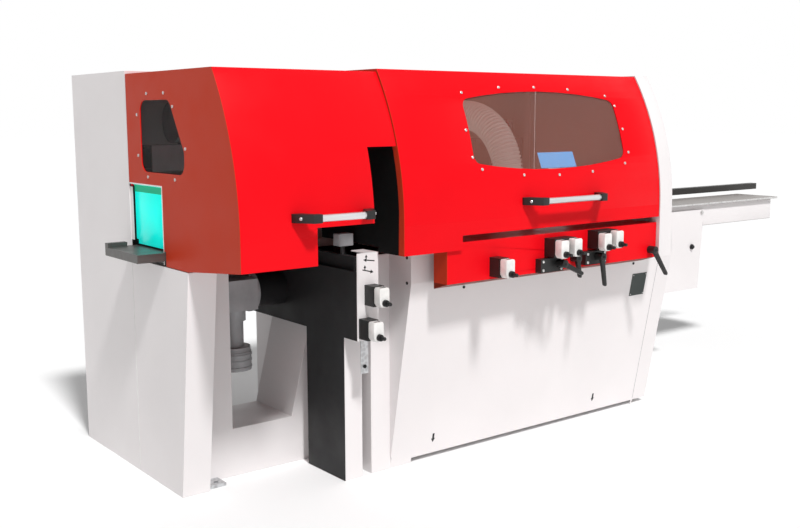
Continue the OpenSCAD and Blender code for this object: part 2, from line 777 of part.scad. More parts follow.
// Cutterhead with knife gullets on a spindle along Z, head starts at z = 0
module cutter_form(height, tail) {
  color("silver") difference() {
    union() {
      cylinder(r = cutter_radius, h = height);
      translate([0, 0, -tail]) cylinder(r = spindle_radius, h = tail + height + 18);
      translate([0, 0, height]) cylinder(r = spindle_radius + 10, h = 10);
    }
    for (a = [0:90:270]) rotate([0, 0, a]) translate([cutter_radius - 12, 2, -1]) cube([20, 16, height + 2]);
  }
}

module cutter_y_form(x, z) {
  translate([x, cutter_y + cutter_len, z]) rotate([90, 0, 0]) cutter_form(cutter_len, 140);
}

module bottom1_cutter() { cutter_y_form(bottom1_x, low_axis_z); }
module bottom2_cutter() { cutter_y_form(bottom2_x, low_axis_z); }
module top_cutter() { cutter_y_form(top_x, top_axis_z); }
module right_cutter() { translate([right_x, right_y, cutter_z]) cutter_form(cutter_height, 210); }
module left_cutter() { translate([left_x, left_y, cutter_z]) cutter_form(cutter_height, 210); }

module quill_form(x, y) {
  color([0.4, 0.42, 0.45]) difference() {
    union() {
      rod_z(x, y, [600, table_z - 14], quill_r);
      rod_z(x, y, [430, 601], 70);
      for (a = [0:30:330]) translate([x, y, 442]) rotate([0, 0, a]) translate([66, -2, 0]) cube([12, 4, 146]);
    }
    rod_z(x, y, [640, table_z], spindle_radius + fit_gap);
  }
}

module right_quill() { quill_form(right_x, right_y); }
module left_quill() { quill_form(left_x, left_y); }

module saddle_form(x, y, half) {
  color([0.33, 0.33, 0.35]) difference() {
    box([x - 105, x + 105], [y - half, y + half], [shelf_z, 800]);
    rod_z(x, y, [shelf_z - 1, 801], quill_r + fit_gap);
  }
}

module right_saddle() { saddle_form(right_x, right_y, 85); }
module left_saddle() { saddle_form(left_x, left_y, 95); }

module top_unit() {
  color([0.35, 0.37, 0.4]) {
    difference() {
      box([top_x - 100, top_x + 100], [wall_y - 100, wall_y], [top_axis_z - 90, top_axis_z + 68]);
      rod_y(top_x, [wall_y - 101, wall_y + 1], top_axis_z, arbor_r - 1);
    }
    motor_y(top_x, top_axis_z, wall_y + wall_t + 30);
  }
}

module bottom2_saddle() {
  color([0.33, 0.33, 0.35]) difference() {
    box([bottom2_x - 100, bottom2_x + 100], [wall_y - 100, wall_y], [low_axis_z - 90, low_axis_z + 90]);
    rod_y(bottom2_x, [wall_y - 101, wall_y + 1], low_axis_z, arbor_r + fit_gap);
  }
}

module bottom2_quill() {
  color([0.35, 0.37, 0.4]) motor_y(bottom2_x, low_axis_z, wall_y + wall_t + 30);
}

// Feed beam on its guide columns with roller cases and the drive motor
module feed_beam() {
  y = [420, 520];
  z = [beam_z, beam_z + beam_h];
  motor_z = z[1] + 86;
  color([0.55, 0.56, 0.58]) difference() {
    union() {
      box([120, 2080], y, z);
      for (rx = roller_xs) box([rx - 45, rx + 45], [320, 421], [roller_z - 50, z[1]]);
      box([270, 470], [column_y - 40, column_y + 40], [z[1] - 1, motor_z - 60]);
      rod_x([235, 540], column_y, motor_z, 74);
      rod_x([225, 262], column_y, motor_z, 80);
      rod_x([520, 560], column_y, motor_z, 66);
    }
    for (cx = column_xs) rod_z(cx, column_y, [z[0] - 1, z[1] + 1], column_r + fit_gap);
    for (rx = roller_xs) rod_y(rx, [319, 412], roller_z, 15 + fit_gap);
    for (h = [[119, column_xs[0] - 50], [column_xs[0] + 50, column_xs[1] - 50]])
      box(h, [y[0] + 12, y[1] - 12], [z[0] + 12, z[1] - 12]);
  }
}

module roller_form(x) {
  mid = fence_y - 95;
  color([0.2, 0.2, 0.2]) difference() {
    union() {
      rod_y(x, [mid - roller_width / 2, mid + roller_width / 2], roller_z, roller_radius);
      rod_y(x, [mid - roller_width / 2 - 12, 408], roller_z, 15);
    }
    for (a = [0:20:340]) translate([x, mid, roller_z]) rotate([0, a, 0]) translate([roller_radius, 0, 0])
      cube([8, roller_width + 2, 7], center = true);
  }
}

module roller_1() { roller_form(roller_xs[0]); }
module roller_2() { roller_form(roller_xs[1]); }
module roller_3() { roller_form(roller_xs[2]); }

module infeed_table() {
  y = [table_y + 40, table_y + 311];
  beam_y = [table_y + 65, table_y + 284];
  color([0.55, 0.52, 0.5]) {
    difference() {
      union() {
        box([end_x + 4, tip_x], y, [table_z - 10, table_z]);
        box([leg_right + 10, tip_x - 30], beam_y, [772, table_z - 9]);
        box([leg_right + 890, tip_x - 30], beam_y, [750, 773]);
      }
      box([leg_right + 180, tip_x - 42], [beam_y[0] + 10, beam_y[1] - 10], [749, table_z - 10]);
      for (gx = guide_xs) rod_z(gx, guide_y, [771, 850], 15 + fit_gap);
    }
    difference() {
      for (gx = guide_xs) box([gx - 40, gx + 40], [beam_y[0] + 1, beam_y[1] - 1], [772, table_z - 9]);
      for (gx = guide_xs) rod_z(gx, guide_y, [771, 850], 15 + fit_gap);
    }
    for (bx = [end_x + 300, end_x + 680, tip_x - 690]) {
      box([bx, bx + 50], [y[1] - 20, y[1] + 34], [table_z - 24, table_z - 10]);
      box([bx, bx + 50], [y[1] + 20, y[1] + 34], [table_z - 24, table_z + 22]);
    }
    box([end_x + 4, rail_x], [y[1] + 4, y[1] + 44], [table_z + 21, table_z + 55]);
  }
}

module table_crank() {
  color([0.2, 0.2, 0.2]) {
    rod_y(crank_x, [104, 210], crank_z, shaft_r + 1);
    rod_y(crank_x, [112, 119.5], crank_z, 14);
  }
}

// Adjusting shaft with a collar and a hexagon end
module shaft_form(x, y, z, tail) {
  front = y - dial_body_d - dial_cover_d;
  color([0.1, 0.1, 0.1]) {
    rod_y(x, [front - 8, y + tail], z, shaft_r);
    rod_y(x, [front - 13, front - 0.5], z, 12);
    rod_y(x, [front - shaft_out, front - 12], z, shaft_r, $fn = 6);
  }
}

module shaft_1() { shaft_form(shaft_xs[0], -fascia_front, shaft_zs[0], 120); }
module shaft_2() { shaft_form(shaft_xs[1], -fascia_front, shaft_zs[1], 120); }
module shaft_3() { shaft_form(shaft_xs[2], -fascia_front, shaft_zs[2], 120); }
module shaft_4() { shaft_form(shaft_xs[3], -fascia_front, shaft_zs[3], 120); }
module shaft_5() { shaft_form(shaft_xs[4], -fascia_front, shaft_zs[4], 120); }
module post_shaft_1() { shaft_form(post_xs[0], post_y, post_zs[0], 60); }
module post_shaft_2() { shaft_form(post_xs[1], post_y, post_zs[1], 60); }

// Clamp lever with a round hub on its stud
module lever_form(i) {
  arm = lever_arms[i];
  color([0.08, 0.08, 0.08]) translate([lever_xs[i], lever_ys[i] - 0.5, lever_zs[i]]) difference() {
    union() {
      rotate([90, 0, 0]) cylinder(r = 14, h = 34);
      rotate([0, -lever_angles[i], 0]) translate([0, -25, 0]) rotate([0, 90, 0]) hull() {
        translate([0, 0, 8]) cylinder(r = 8, h = 2, $fn = 24);
        translate([0, -16, arm]) sphere(r = 9, $fn = 24);
      }
    }
    rotate([90, 0, 0]) translate([0, 0, -1]) cylinder(r = lever_r + fit_gap, h = 31);
  }
}

module lever_1() { lever_form(0); }
module lever_2() { lever_form(1); }
module lever_3() { lever_form(2); }
module lever_4() { lever_form(3); }

// Left hood with end plate, notch and slot
module left_hood() {
  t = sheet;
  top = left_hood_top;
  x = [0, split_x - cover_gap];
  notch_x = [284, 515];
  notch_z = 990;
  slot_z = 1245;
  color("red") {
    difference() {
      hood_form(x, top, 0, column_top + 3);
      hood_form([t, x[1] + 1], top, -t, column_top - 1);
      box([t, x[1] + 1], [hinge_y - t - 1, hinge_y + 1], [0, top - t]);
      side_plate([-1, x[1] + 1], [[front_y - 1, column_top - 1], [front_y - 1, hood_bottom],
        [-105, column_top + 4], [-105, column_top - 1]]);
      box([-1, t + 1], [84, hinge_y + 1], [column_top, flap_top]);
      box([-1, t + 1], [table_y - 3, 85], [column_top, table_z + 3]);
      box([t, x[1] + 1], [front_y - 1, 400], [column_top, hood_bottom]);
      box([notch_x[0], notch_x[1]], [front_y - 1, front_y + 60], [column_top, notch_z]);
      box([notch_x[1] - 1, x[1] + 1], [front_y - 1, front_y + 160], [column_top, slot_z]);
      side_plate_cut();
    }
    for (hx = left_hinges) hinge_moving(hx, top);
    difference() {
      for (y = flap_ends) box([t - 1, flap_x + 10], [y, y + 10], [flap_z - 9, flap_z + 22]);
      rod_y(flap_x, [flap_ends[0] - 1, flap_ends[1] + 11], flap_z, 5 + fit_gap);
    }
  }
}

module side_plate_cut() {
  translate([-1, 0, 0]) rotate([90, 0, 90]) linear_extrude(sheet + 2) polygon(rounded(end_window_points, 40));
}

module end_window() {
  m = 22;
  p = [[243 + m, 1405 + m], [5 - m * 0.6, 1405 + m], [-102 - m, 1228 + 8],
    [-98 - m, 1153 - m], [243 + m, 1153 - m]];
  color([0.6, 0.65, 0.68, 0.4]) side_plate([sheet, sheet + 3], rounded(p, 40));
}

// Handle tube between two stand-off ends
module handle_form(g) {
  y = front_y - handle_reach;
  reach = 67;
  wall = handle_radius + 2.5;
  color([0.75, 0.75, 0.76]) rod_x([g[0] + reach - 12, g[1] - reach + 12], y, grip_z, handle_radius);
  color([0.08, 0.08, 0.08]) for (s = [0, 1]) translate([g[s], 0, grip_z]) mirror([s, 0, 0])
    translate([0, 0, -wall]) linear_extrude(2 * wall)
      polygon([[-6, front_y + 9], [32, front_y + 9], [32, front_y], [reach - 14, y + wall],
        [reach, y + wall], [reach, y - wall], [34, y - wall], [-6, front_y - 10]]);
}

module left_handle() {
  difference() {
    handle_form(grip_left);
    hood_form([grip_left[0] - 20, grip_left[1] + 20], left_hood_top, 0, hood_bottom);
  }
}

module right_handle() {
  difference() {
    handle_form(grip_right);
    hood_form([grip_right[0] - 20, grip_right[1] + 20], right_hood_top, 0, hood_bottom);
  }
}

// Flap hung on a rod behind the outfeed opening
module outfeed_flap() {
  color([0.1, 0.85, 0.8, 0.6]) {
    side_plate([flap_x + 2, flap_x + 5], [[flap_ends[0] + 22, table_z + 8], [fence_y - 32, table_z + 8],
      [fence_y - 32, table_z + 24], [flap_ends[1] - 2, table_z + 24], [flap_ends[1] - 2, flap_z],
      [flap_ends[0] + 22, flap_z]]);
    rod_y(flap_x, [flap_ends[0] - 2, flap_ends[1] + 12], flap_z, 5);
  }
}

// Right hood with arched window
function window_points(grow) = let (
    w = window_width / 2 + grow, h = window_height / 2 + grow, rise = 34, n = 8,
    top = [for (i = [0:n]) let (u = 1 - 2 * i / n) [window_x - w * u, window_z + h - rise * u * u]],
    low = [for (i = [0:n]) let (u = 1 - 2 * i / n) [window_x + w * u, window_z - h + rise * u * u]],
    r = window_corner + grow)
  concat(
    corner_arc(low[n], top[0], top[1], r, 6), [for (i = [1:n - 1]) top[i]],
    corner_arc(top[n - 1], top[n], low[0], r, 6), corner_arc(top[n], low[0], low[1], r, 6),
    [for (i = [1:n - 1]) low[i]], corner_arc(low[n - 1], low[n], top[0], r, 6));

module right_hood() {
  t = sheet;
  top = right_hood_top;
  x = [split_x, hood_end_x];
  color("red") {
    difference() {
      hood_form(x, top, 0, hood_bottom);
      hood_form([x[0] - 1, x[1] + 1], top, -t, hood_bottom - 1);
      box([x[0] - 1, x[1] + 1], [hinge_y - t - 1, hinge_y + 1], [0, top - t]);
      box([910, x[1] + 1], [front_y - 1, 0], [hood_bottom - 1, hood_fascia_edge]);
      front_prism([front_y - 1, -200], window_points(0));
    }
    for (hx = right_hinges) hinge_moving(hx, top);
    difference() {
      hood_form([x[0], x[0] + t], top, -t, hood_bottom);
      box([x[0] - 1, x[0] + t + 1], [bed_y - 12, table_y - 20], [0, table_z + 10]);
      box([x[0] - 1, x[0] + t + 1], [table_y - 21, hinge_y + 1], [0, table_z + 140]);
      box([x[0] - 1, x[0] + t + 1], [fence_y - 170, hinge_y + 1], [0, table_z + 300]);
    }
  }
}

module front_window() {
  color([0.6, 0.62, 0.62, 0.4]) intersection() {
    difference() {
      hood_form([window_x - 500, window_x + 500], right_hood_top, -sheet, hood_bottom);
      hood_form([window_x - 501, window_x + 501], right_hood_top, -sheet - 3, hood_bottom - 1);
    }
    front_prism([front_y - 1, -200], window_points(22));
  }
}

in_frame() outfeed_column();
in_frame() bed_end_cover();
in_frame() front_posts();
in_frame() base_cabinet();
in_frame() base_front_cover();
in_frame() right_leg();
in_frame() machine_bed();
in_frame() bed_plates();
in_frame() outfeed_table();
in_frame() guide_fence();
in_frame() head_wall();
in_frame() rear_housing();
in_frame() electrical_cabinet();
in_frame() infeed_portal();
in_frame() control_fascia();
in_frame() infeed_support();
in_frame() anchor_feet();
in_frame() extraction_ducts();
in_frame() extraction_hoses();
in_frame() gearmotor();
in_frame() guide_columns();
in_frame() control_mounts();
in_frame() indicator_covers();
in_frame() first_bottom_unit();
in_frame() left_hood();
in_frame() end_window();
in_frame() left_handle();
in_frame() outfeed_flap();
in_frame() right_hood();
in_frame() front_window();
in_frame() right_handle();
in_frame() bottom1_cutter();
in_frame() right_saddle();
in_frame() right_quill();
in_frame() right_cutter();
in_frame() left_saddle();
in_frame() left_quill();
in_frame() left_cutter();
in_frame() top_unit();
in_frame() top_cutter();
in_frame() bottom2_saddle();
in_frame() bottom2_quill();
in_frame() bottom2_cutter();
in_frame() feed_beam();
in_frame() roller_1();
in_frame() roller_2();
in_frame() roller_3();
in_frame() infeed_table();
in_frame() table_crank();
in_frame() shaft_1();
in_frame() shaft_2();
in_frame() shaft_3();
in_frame() shaft_4();
in_frame() shaft_5();
in_frame() post_shaft_1();
in_frame() post_shaft_2();
in_frame() lever_1();
in_frame() lever_2();
in_frame() lever_3();
in_frame() lever_4();
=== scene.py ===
import math

import bpy
from mathutils import Matrix, Vector


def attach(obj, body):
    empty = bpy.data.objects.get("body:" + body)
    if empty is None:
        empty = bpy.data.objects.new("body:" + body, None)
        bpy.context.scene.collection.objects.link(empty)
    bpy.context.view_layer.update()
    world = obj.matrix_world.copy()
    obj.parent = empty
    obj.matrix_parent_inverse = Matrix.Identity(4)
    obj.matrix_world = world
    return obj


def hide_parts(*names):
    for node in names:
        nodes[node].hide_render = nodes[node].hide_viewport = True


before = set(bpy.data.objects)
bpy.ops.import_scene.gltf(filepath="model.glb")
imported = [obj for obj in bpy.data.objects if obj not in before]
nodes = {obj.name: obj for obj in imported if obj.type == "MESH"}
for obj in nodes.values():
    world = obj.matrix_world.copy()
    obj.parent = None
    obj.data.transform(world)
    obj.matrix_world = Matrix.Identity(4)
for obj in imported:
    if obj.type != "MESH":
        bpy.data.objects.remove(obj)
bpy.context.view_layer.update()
scene = bpy.context.scene
print("frame loaded,", len(nodes), "nodes")

machine = {"originX": 1.980, "originY": 0.200}  # frame origin, from the left end face and the column foot


def at(x, y, z):  # machine millimetres to frame metres
    return Vector((x / 1000 - machine["originX"], y / 1000 - machine["originY"], z / 1000))


# camera, matched to the photographed view

cameraSet = {"place": (-3.4785, -3.4022, 1.350), "yaw": 37.774, "down": 8.364, "roll": 0.149, "lens": 45.484,
             "sensor": 36, "clipEnd": 200}

cameraData = bpy.data.cameras.new("viewCamera")
cameraData.sensor_fit = "HORIZONTAL"
cameraData.sensor_width = cameraSet["sensor"]
cameraData.lens = cameraSet["lens"]
cameraData.clip_end = cameraSet["clipEnd"]
viewCamera = bpy.data.objects.new("viewCamera", cameraData)
scene.collection.objects.link(viewCamera)
viewCamera.matrix_world = (
    Matrix.Translation(cameraSet["place"])
    @ Matrix.Rotation(math.radians(-cameraSet["yaw"]), 4, "Z")
    @ Matrix.Rotation(math.radians(90 - cameraSet["down"]), 4, "X")
    @ Matrix.Rotation(math.radians(-cameraSet["roll"]), 4, "Z")
)
scene.camera = viewCamera
scene.view_settings.view_transform = "Standard"

# studio: soft white surround, one high key from the front

studio = {"surround": 0.37, "backdrop": 1, "key": 2.7, "keyFrom": (-0.127, -0.590, 0.797), "keySoft": 0.12,
          "floorSize": 120, "floorDrop": 0.0005}

world = bpy.data.worlds.new("studioWorld")
scene.world = world
world.use_nodes = True
worldNodes = world.node_tree.nodes
worldLinks = world.node_tree.links
worldNodes.clear()
surround = worldNodes.new("ShaderNodeBackground")
surround.inputs["Color"].default_value = (1, 1, 1, 1)
surround.inputs["Strength"].default_value = studio["surround"]
backdrop = worldNodes.new("ShaderNodeBackground")
backdrop.inputs["Color"].default_value = (1, 1, 1, 1)
backdrop.inputs["Strength"].default_value = studio["backdrop"]
rayKind = worldNodes.new("ShaderNodeLightPath")
seen = worldNodes.new("ShaderNodeMath")
seen.operation = "MAXIMUM"
seenToo = worldNodes.new("ShaderNodeMath")
seenToo.operation = "MAXIMUM"
pick = worldNodes.new("ShaderNodeMixShader")
worldOut = worldNodes.new("ShaderNodeOutputWorld")
worldLinks.new(rayKind.outputs["Is Camera Ray"], seen.inputs[0])
worldLinks.new(rayKind.outputs["Is Glossy Ray"], seen.inputs[1])
worldLinks.new(seen.outputs[0], seenToo.inputs[0])
worldLinks.new(rayKind.outputs["Is Transmission Ray"], seenToo.inputs[1])
worldLinks.new(seenToo.outputs[0], pick.inputs[0])
worldLinks.new(surround.outputs[0], pick.inputs[1])
worldLinks.new(backdrop.outputs[0], pick.inputs[2])
worldLinks.new(pick.outputs[0], worldOut.inputs["Surface"])

keyData = bpy.data.lights.new("keyLamp", "SUN")
keyData.energy = studio["key"]
keyData.angle = studio["keySoft"]
keyLamp = bpy.data.objects.new("keyLamp", keyData)
scene.collection.objects.link(keyLamp)
keyLamp.rotation_euler = Vector(studio["keyFrom"]).to_track_quat("Z", "Y").to_euler()


# finishes


class Finish:  # short way to wire a procedural finish on Object coordinates
    def __init__(self, name, base, rough, metal=0.0):
        self.mat = bpy.data.materials.new(name)
        self.mat.use_nodes = True
        self.tree = self.mat.node_tree
        self.shader = self.tree.nodes["Principled BSDF"]
        self.shader.inputs["Base Color"].default_value = (*base, 1)
        self.shader.inputs["Roughness"].default_value = rough
        self.shader.inputs["Metallic"].default_value = metal
        self.coord = self.add("ShaderNodeTexCoord").outputs["Object"]
        self.base = base

    def add(self, kind, **values):
        node = self.tree.nodes.new(kind)
        for key, value in values.items():
            setattr(node, key, value)
        return node

    def link(self, a, b):
        self.tree.links.new(a, b)

    def put(self, socket, value):
        self.shader.inputs[socket].default_value = value

    def mapped(self, stretch):
        mapping = self.add("ShaderNodeMapping")
        mapping.inputs["Scale"].default_value = stretch
        self.link(self.coord, mapping.inputs["Vector"])
        return mapping.outputs["Vector"]

    def noise(self, scale, detail=3, stretch=None):
        tex = self.add("ShaderNodeTexNoise")
        tex.inputs["Scale"].default_value = scale
        tex.inputs["Detail"].default_value = detail
        self.link(self.mapped(stretch) if stretch else self.coord, tex.inputs["Vector"])
        return tex.outputs["Fac"]

    def span(self, fac, low, high, fromLow=0.3, fromHigh=0.7):
        node = self.add("ShaderNodeMapRange")
        node.inputs["From Min"].default_value = fromLow
        node.inputs["From Max"].default_value = fromHigh
        node.inputs["To Min"].default_value = low
        node.inputs["To Max"].default_value = high
        self.link(fac, node.inputs["Value"])
        return node.outputs["Result"]

    def past(self, axis, edge, blur=0.0002):  # 0 below an edge on one axis, 1 past it
        parts = self.add("ShaderNodeSeparateXYZ")
        self.link(self.coord, parts.inputs[0])
        return self.span(parts.outputs[axis], 0, 1, edge - blur, edge + blur)

    def mix(self, fac, a, b):
        node = self.add("ShaderNodeMix", data_type="RGBA")
        self.link(fac, node.inputs["Factor"])
        for value, socket in ((a, node.inputs[6]), (b, node.inputs[7])):  # the node's two colour sockets
            if isinstance(value, tuple):
                socket.default_value = (*value, 1)
            else:
                self.link(value, socket)
        return node.outputs[2]

    def shades(self, fac, dark=0.93, light=1.05):
        a = tuple(min(c * dark, 1) for c in self.base)
        b = tuple(min(c * light, 1) for c in self.base)
        return self.mix(self.span(fac, 0, 1), a, b)

    def colour(self, socket):
        self.link(socket, self.shader.inputs["Base Color"])

    def roughness(self, fac, low, high):
        self.link(self.span(fac, low, high), self.shader.inputs["Roughness"])

    def bump(self, fac, strength, depth=0.001):
        node = self.add("ShaderNodeBump")
        node.inputs["Strength"].default_value = strength
        node.inputs["Distance"].default_value = depth
        self.link(fac, node.inputs["Height"])
        self.link(node.outputs["Normal"], self.shader.inputs["Normal"])


def paintFinish(name, base, rough, peel=0.05, dust=0.04, gloss=0.3):  # sprayed paint, orange peel, faint dust
    f = Finish(name, base, rough)
    f.put("Specular IOR Level", gloss)
    f.colour(f.shades(f.noise(2.3, 5), 1 - dust, 1 + dust * 0.6))
    f.roughness(f.noise(9, 4), rough * 0.85, rough * 1.25)
    f.bump(f.noise(260, 2), peel, 0.0006)
    return f.mat


# red paint; the end and lip reds are painted shade for the left-facing end faces and the fascia's underside
redsAndPaintedShade = {"full": (0.83, 0.004, 0.010), "end": (0.50, 0.040, 0.014), "lip": (0.17, 0.018, 0.007)}


def redWithPaintedShade(name, endX, shadeBelowZ=None):  # sprayed red, with painted shade: darker red left of the end edge on the shaded left-facing end faces, brown below the lip edge on the fascia's shaded underside
    f = Finish(name, redsAndPaintedShade["full"], 0.36)
    f.put("Specular IOR Level", 0.07)
    # painted shade: left of the end edge the red turns darker, as on a face turned from the key light
    tone = f.mix(f.past("X", endX), redsAndPaintedShade["end"], f.shades(f.noise(2.3, 5), 0.95, 1.03))
    # painted shade: brown below the lip edge, for the fascia's sloped underside in shade
    if shadeBelowZ is not None:
        tone = f.mix(f.past("Z", shadeBelowZ), redsAndPaintedShade["lip"], tone)
    f.colour(tone)
    f.roughness(f.noise(9, 4), 0.30, 0.45)
    f.bump(f.noise(260, 2), 0.045, 0.0006)
    return f.mat


def castFinish(name, base, rough, grain=0.25, metal=0.0):  # cast or rolled skin with a coarse grain
    f = Finish(name, base, rough, metal)
    f.put("Specular IOR Level", 0.35)
    f.colour(f.shades(f.noise(14, 6), 0.8, 1.15))
    f.roughness(f.noise(40, 4), rough * 0.85, rough * 1.15)
    f.bump(f.noise(420, 4), grain, 0.0006)
    return f.mat


def driveFinish(name, base, drum, endX):  # enamel, with a dark drum beyond endX
    f = Finish(name, base, 0.45)
    f.put("Specular IOR Level", 0.35)
    f.colour(f.mix(f.past("X", endX), f.shades(f.noise(14, 6), 0.85, 1.1), drum))
    f.roughness(f.noise(40, 4), 0.38, 0.55)
    f.bump(f.noise(420, 4), 0.2, 0.0006)
    return f.mat


def groundFinish(name, base, rough, stretch, metal=0.9):  # ground or brushed metal, streaks along one axis
    f = Finish(name, base, rough, metal)
    streak = f.noise(60, 4, stretch)
    f.colour(f.shades(streak, 0.82, 1.1))
    f.roughness(streak, rough * 0.8, rough * 1.3)
    f.bump(streak, 0.06, 0.0004)
    return f.mat


def mouldedFinish(name, base, rough, grain=0.12):  # moulded plastic with a spark-eroded grain
    f = Finish(name, base, rough)
    f.put("Specular IOR Level", 0.4)
    f.colour(f.shades(f.noise(30, 3), 0.9, 1.12))
    f.roughness(f.noise(120, 3), rough * 0.85, rough * 1.2)
    f.bump(f.noise(900, 2), grain, 0.0003)
    return f.mat


def spangleFinish(name, base, rough):  # galvanised sheet
    f = Finish(name, base, rough, 0.85)
    cell = f.add("ShaderNodeTexVoronoi")
    cell.inputs["Scale"].default_value = 70
    f.link(f.coord, cell.inputs["Vector"])
    f.colour(f.shades(cell.outputs["Distance"], 0.8, 1.12))
    f.roughness(cell.outputs["Distance"], 0.28, 0.5)
    f.bump(f.noise(200, 3), 0.05)
    return f.mat


def sheetFinish(name, tint, rough, cover, haze, gloss, paintedGlow=0.0):  # smeared plastic; the glow setting is painted light, an emission that brightens the sheet though it is no lamp
    f = Finish(name, tint, rough)
    f.put("Emission Color", (*tint, 1))
    f.put("Emission Strength", paintedGlow)
    f.put("IOR", 1.49)
    f.put("Transmission Weight", 0.0)
    f.put("Specular IOR Level", gloss)
    f.link(f.span(f.noise(3, 4), cover, cover + haze), f.shader.inputs["Alpha"])
    f.roughness(f.noise(14, 3), rough, rough * 2)
    f.mat.blend_method = "BLEND"
    return f.mat


streaks = {"x": (0.05, 1, 1), "y": (1, 0.08, 1), "z": (1, 1, 0.2)}  # stretch of the grain along each axis
# X edges where the painted shade of the red end faces begins, and where the gearmotor's dark drum begins
edgeOf = {"leftHood": 0.0012, "rightHood": 0.6412, "fascia": 0.8462, "drum": 0.4203}  # from the left end face
for place in edgeOf:
    edgeOf[place] -= machine["originX"]
# height below which the fascia's sloped underside is given painted shade
fasciaShadeZ = 0.7424

finishes = {
    "white": paintFinish("whitePaint", (0.80, 0.765, 0.765), 0.42, 0.05, 0.035),
    "redLeft": redWithPaintedShade("redLeftHood", edgeOf["leftHood"]),
    "redRight": redWithPaintedShade("redRightHood", edgeOf["rightHood"]),
    "redFascia": redWithPaintedShade("redFascia", edgeOf["fascia"], fasciaShadeZ),
    "dark": paintFinish("darkPaint", (0.018, 0.018, 0.019), 0.5, 0.12, 0.15),
    "grey": castFinish("greyPaint", (0.30, 0.30, 0.31), 0.48),
    "iron": groundFinish("tableIron", (0.30, 0.275, 0.26), 0.42, streaks["x"], 0.55),
    "tableDark": groundFinish("oiledTable", (0.11, 0.105, 0.10), 0.4, streaks["x"], 0.5),
    "steel": groundFinish("brightSteel", (0.58, 0.58, 0.59), 0.28, streaks["y"]),
    "blackSteel": castFinish("blackSteel", (0.03, 0.03, 0.031), 0.42, 0.15, 0.5),
    "tube": groundFinish("handleTube", (0.72, 0.72, 0.73), 0.3, streaks["x"]),
    "black": mouldedFinish("blackPlastic", (0.012, 0.012, 0.012), 0.42),
    "cover": mouldedFinish("whitePlastic", (0.80, 0.79, 0.77), 0.38, 0.05),
    # near-black paint for the slot sheet, painted shade of the hood's inside
    "paintedShade": paintFinish("slotPaintedShade", (0.004, 0.004, 0.004), 0.7, 0.08, 0.1, 0.1),
    "plateDark": paintFinish("plateDark", (0.035, 0.045, 0.042), 0.4, 0.03, 0.12),
    "ink": paintFinish("markInk", (0.02, 0.02, 0.021), 0.5, 0.02, 0.1),
    "nickel": groundFinish("nickelScrew", (0.68, 0.67, 0.66), 0.3, streaks["z"], 0.85),
    "rail": groundFinish("railSkin", (0.03, 0.028, 0.026), 0.4, streaks["x"], 0.4),
    "drive": driveFinish("driveEnamel", (0.40, 0.40, 0.41), (0.014, 0.014, 0.015), edgeOf["drum"]),
    "zinc": spangleFinish("zincSheet", (0.55, 0.56, 0.57), 0.38),
    # painted light: the window's brown veil paints the red-bounced light inside the hood
    "window": sheetFinish("windowSheet", (0.40, 0.145, 0.105), 0.06, 0.18, 0.06, 0.3),
    "endPane": sheetFinish("endPane", (0.035, 0.036, 0.037), 0.08, 0.1, 0.06, 0.06),
    # painted light: the flap's emission makes it glow bright cyan in its shaded place, though it is no lamp
    "flap": sheetFinish("flapSheet", (0.005, 0.93, 0.82), 0.12, 0.93, 0.04, 0.08, 0.36),
    "topBand": paintFinish("flapTopBand", (0.004, 0.58, 0.31), 0.3, 0.02, 0.06, 0.06),
    # painted light: a faint emission brightens the hoses inside the hood, though they are no lamp
    "hose": sheetFinish("hoseSkin", (0.88, 0.87, 0.83), 0.25, 0.88, 0.08, 0.5, 0.12),
    # painted light: the blue plate's emission paints the sunlight it gets through the window
    "bluePlate": sheetFinish("bluePlate", (0.05, 0.48, 0.98), 0.3, 0.97, 0.03, 0.3, 0.4),
}

nodeFinish = {
    "white": ["outfeed_column", "front_posts", "base_cabinet", "base_front_cover", "right_leg",
              "rear_housing", "electrical_cabinet", "infeed_portal", "infeed_support"],
    "redLeft": ["left_hood"],
    "redRight": ["right_hood"],
    "redFascia": ["control_fascia"],
    "dark": ["bed_end_cover", "head_wall", "machine_bed"],
    "iron": ["bed_plates", "guide_fence", "right_saddle", "left_saddle", "bottom2_saddle", "infeed_table"],
    "tableDark": ["outfeed_table"],
    "drive": ["gearmotor"],
    "grey": ["feed_beam", "first_bottom_unit", "top_unit", "right_quill", "left_quill", "bottom2_quill"],
    "steel": ["guide_columns", "bottom1_cutter", "right_cutter", "left_cutter", "top_cutter",
              "bottom2_cutter"],
    "blackSteel": ["roller_1", "roller_2", "roller_3", "table_crank", "shaft_1", "shaft_2", "shaft_3",
                   "shaft_4", "shaft_5", "post_shaft_1", "post_shaft_2"],
    "zinc": ["extraction_ducts", "anchor_feet"],
    "hose": ["extraction_hoses"],
    "black": ["control_mounts", "lever_1", "lever_2", "lever_3", "lever_4"],
    "cover": ["indicator_covers"],
    "tube": ["left_handle", "right_handle"],
    "window": ["front_window"],
    "endPane": ["end_window"],
    "flap": ["outfeed_flap"],
}
edges = {"weld": 0.00002, "angle": 40, "segments": 2, "usual": 0.001,
         "width": {"machine_bed": 0.003, "bed_plates": 0.0015, "gearmotor": 0.003, "feed_beam": 0.003,
                   "infeed_table": 0.0012},
         "sharp": ["extraction_hoses", "front_window", "end_window", "outfeed_flap"]}


def softenEdges(obj, width):  # small rounded edges on a carried-over node
    weld = obj.modifiers.new("weld", "WELD")
    weld.merge_threshold = edges["weld"]
    bevel = obj.modifiers.new("edges", "BEVEL")
    bevel.limit_method = "ANGLE"
    bevel.angle_limit = math.radians(edges["angle"])
    bevel.width = width
    bevel.segments = edges["segments"]
    bevel.use_clamp_overlap = True


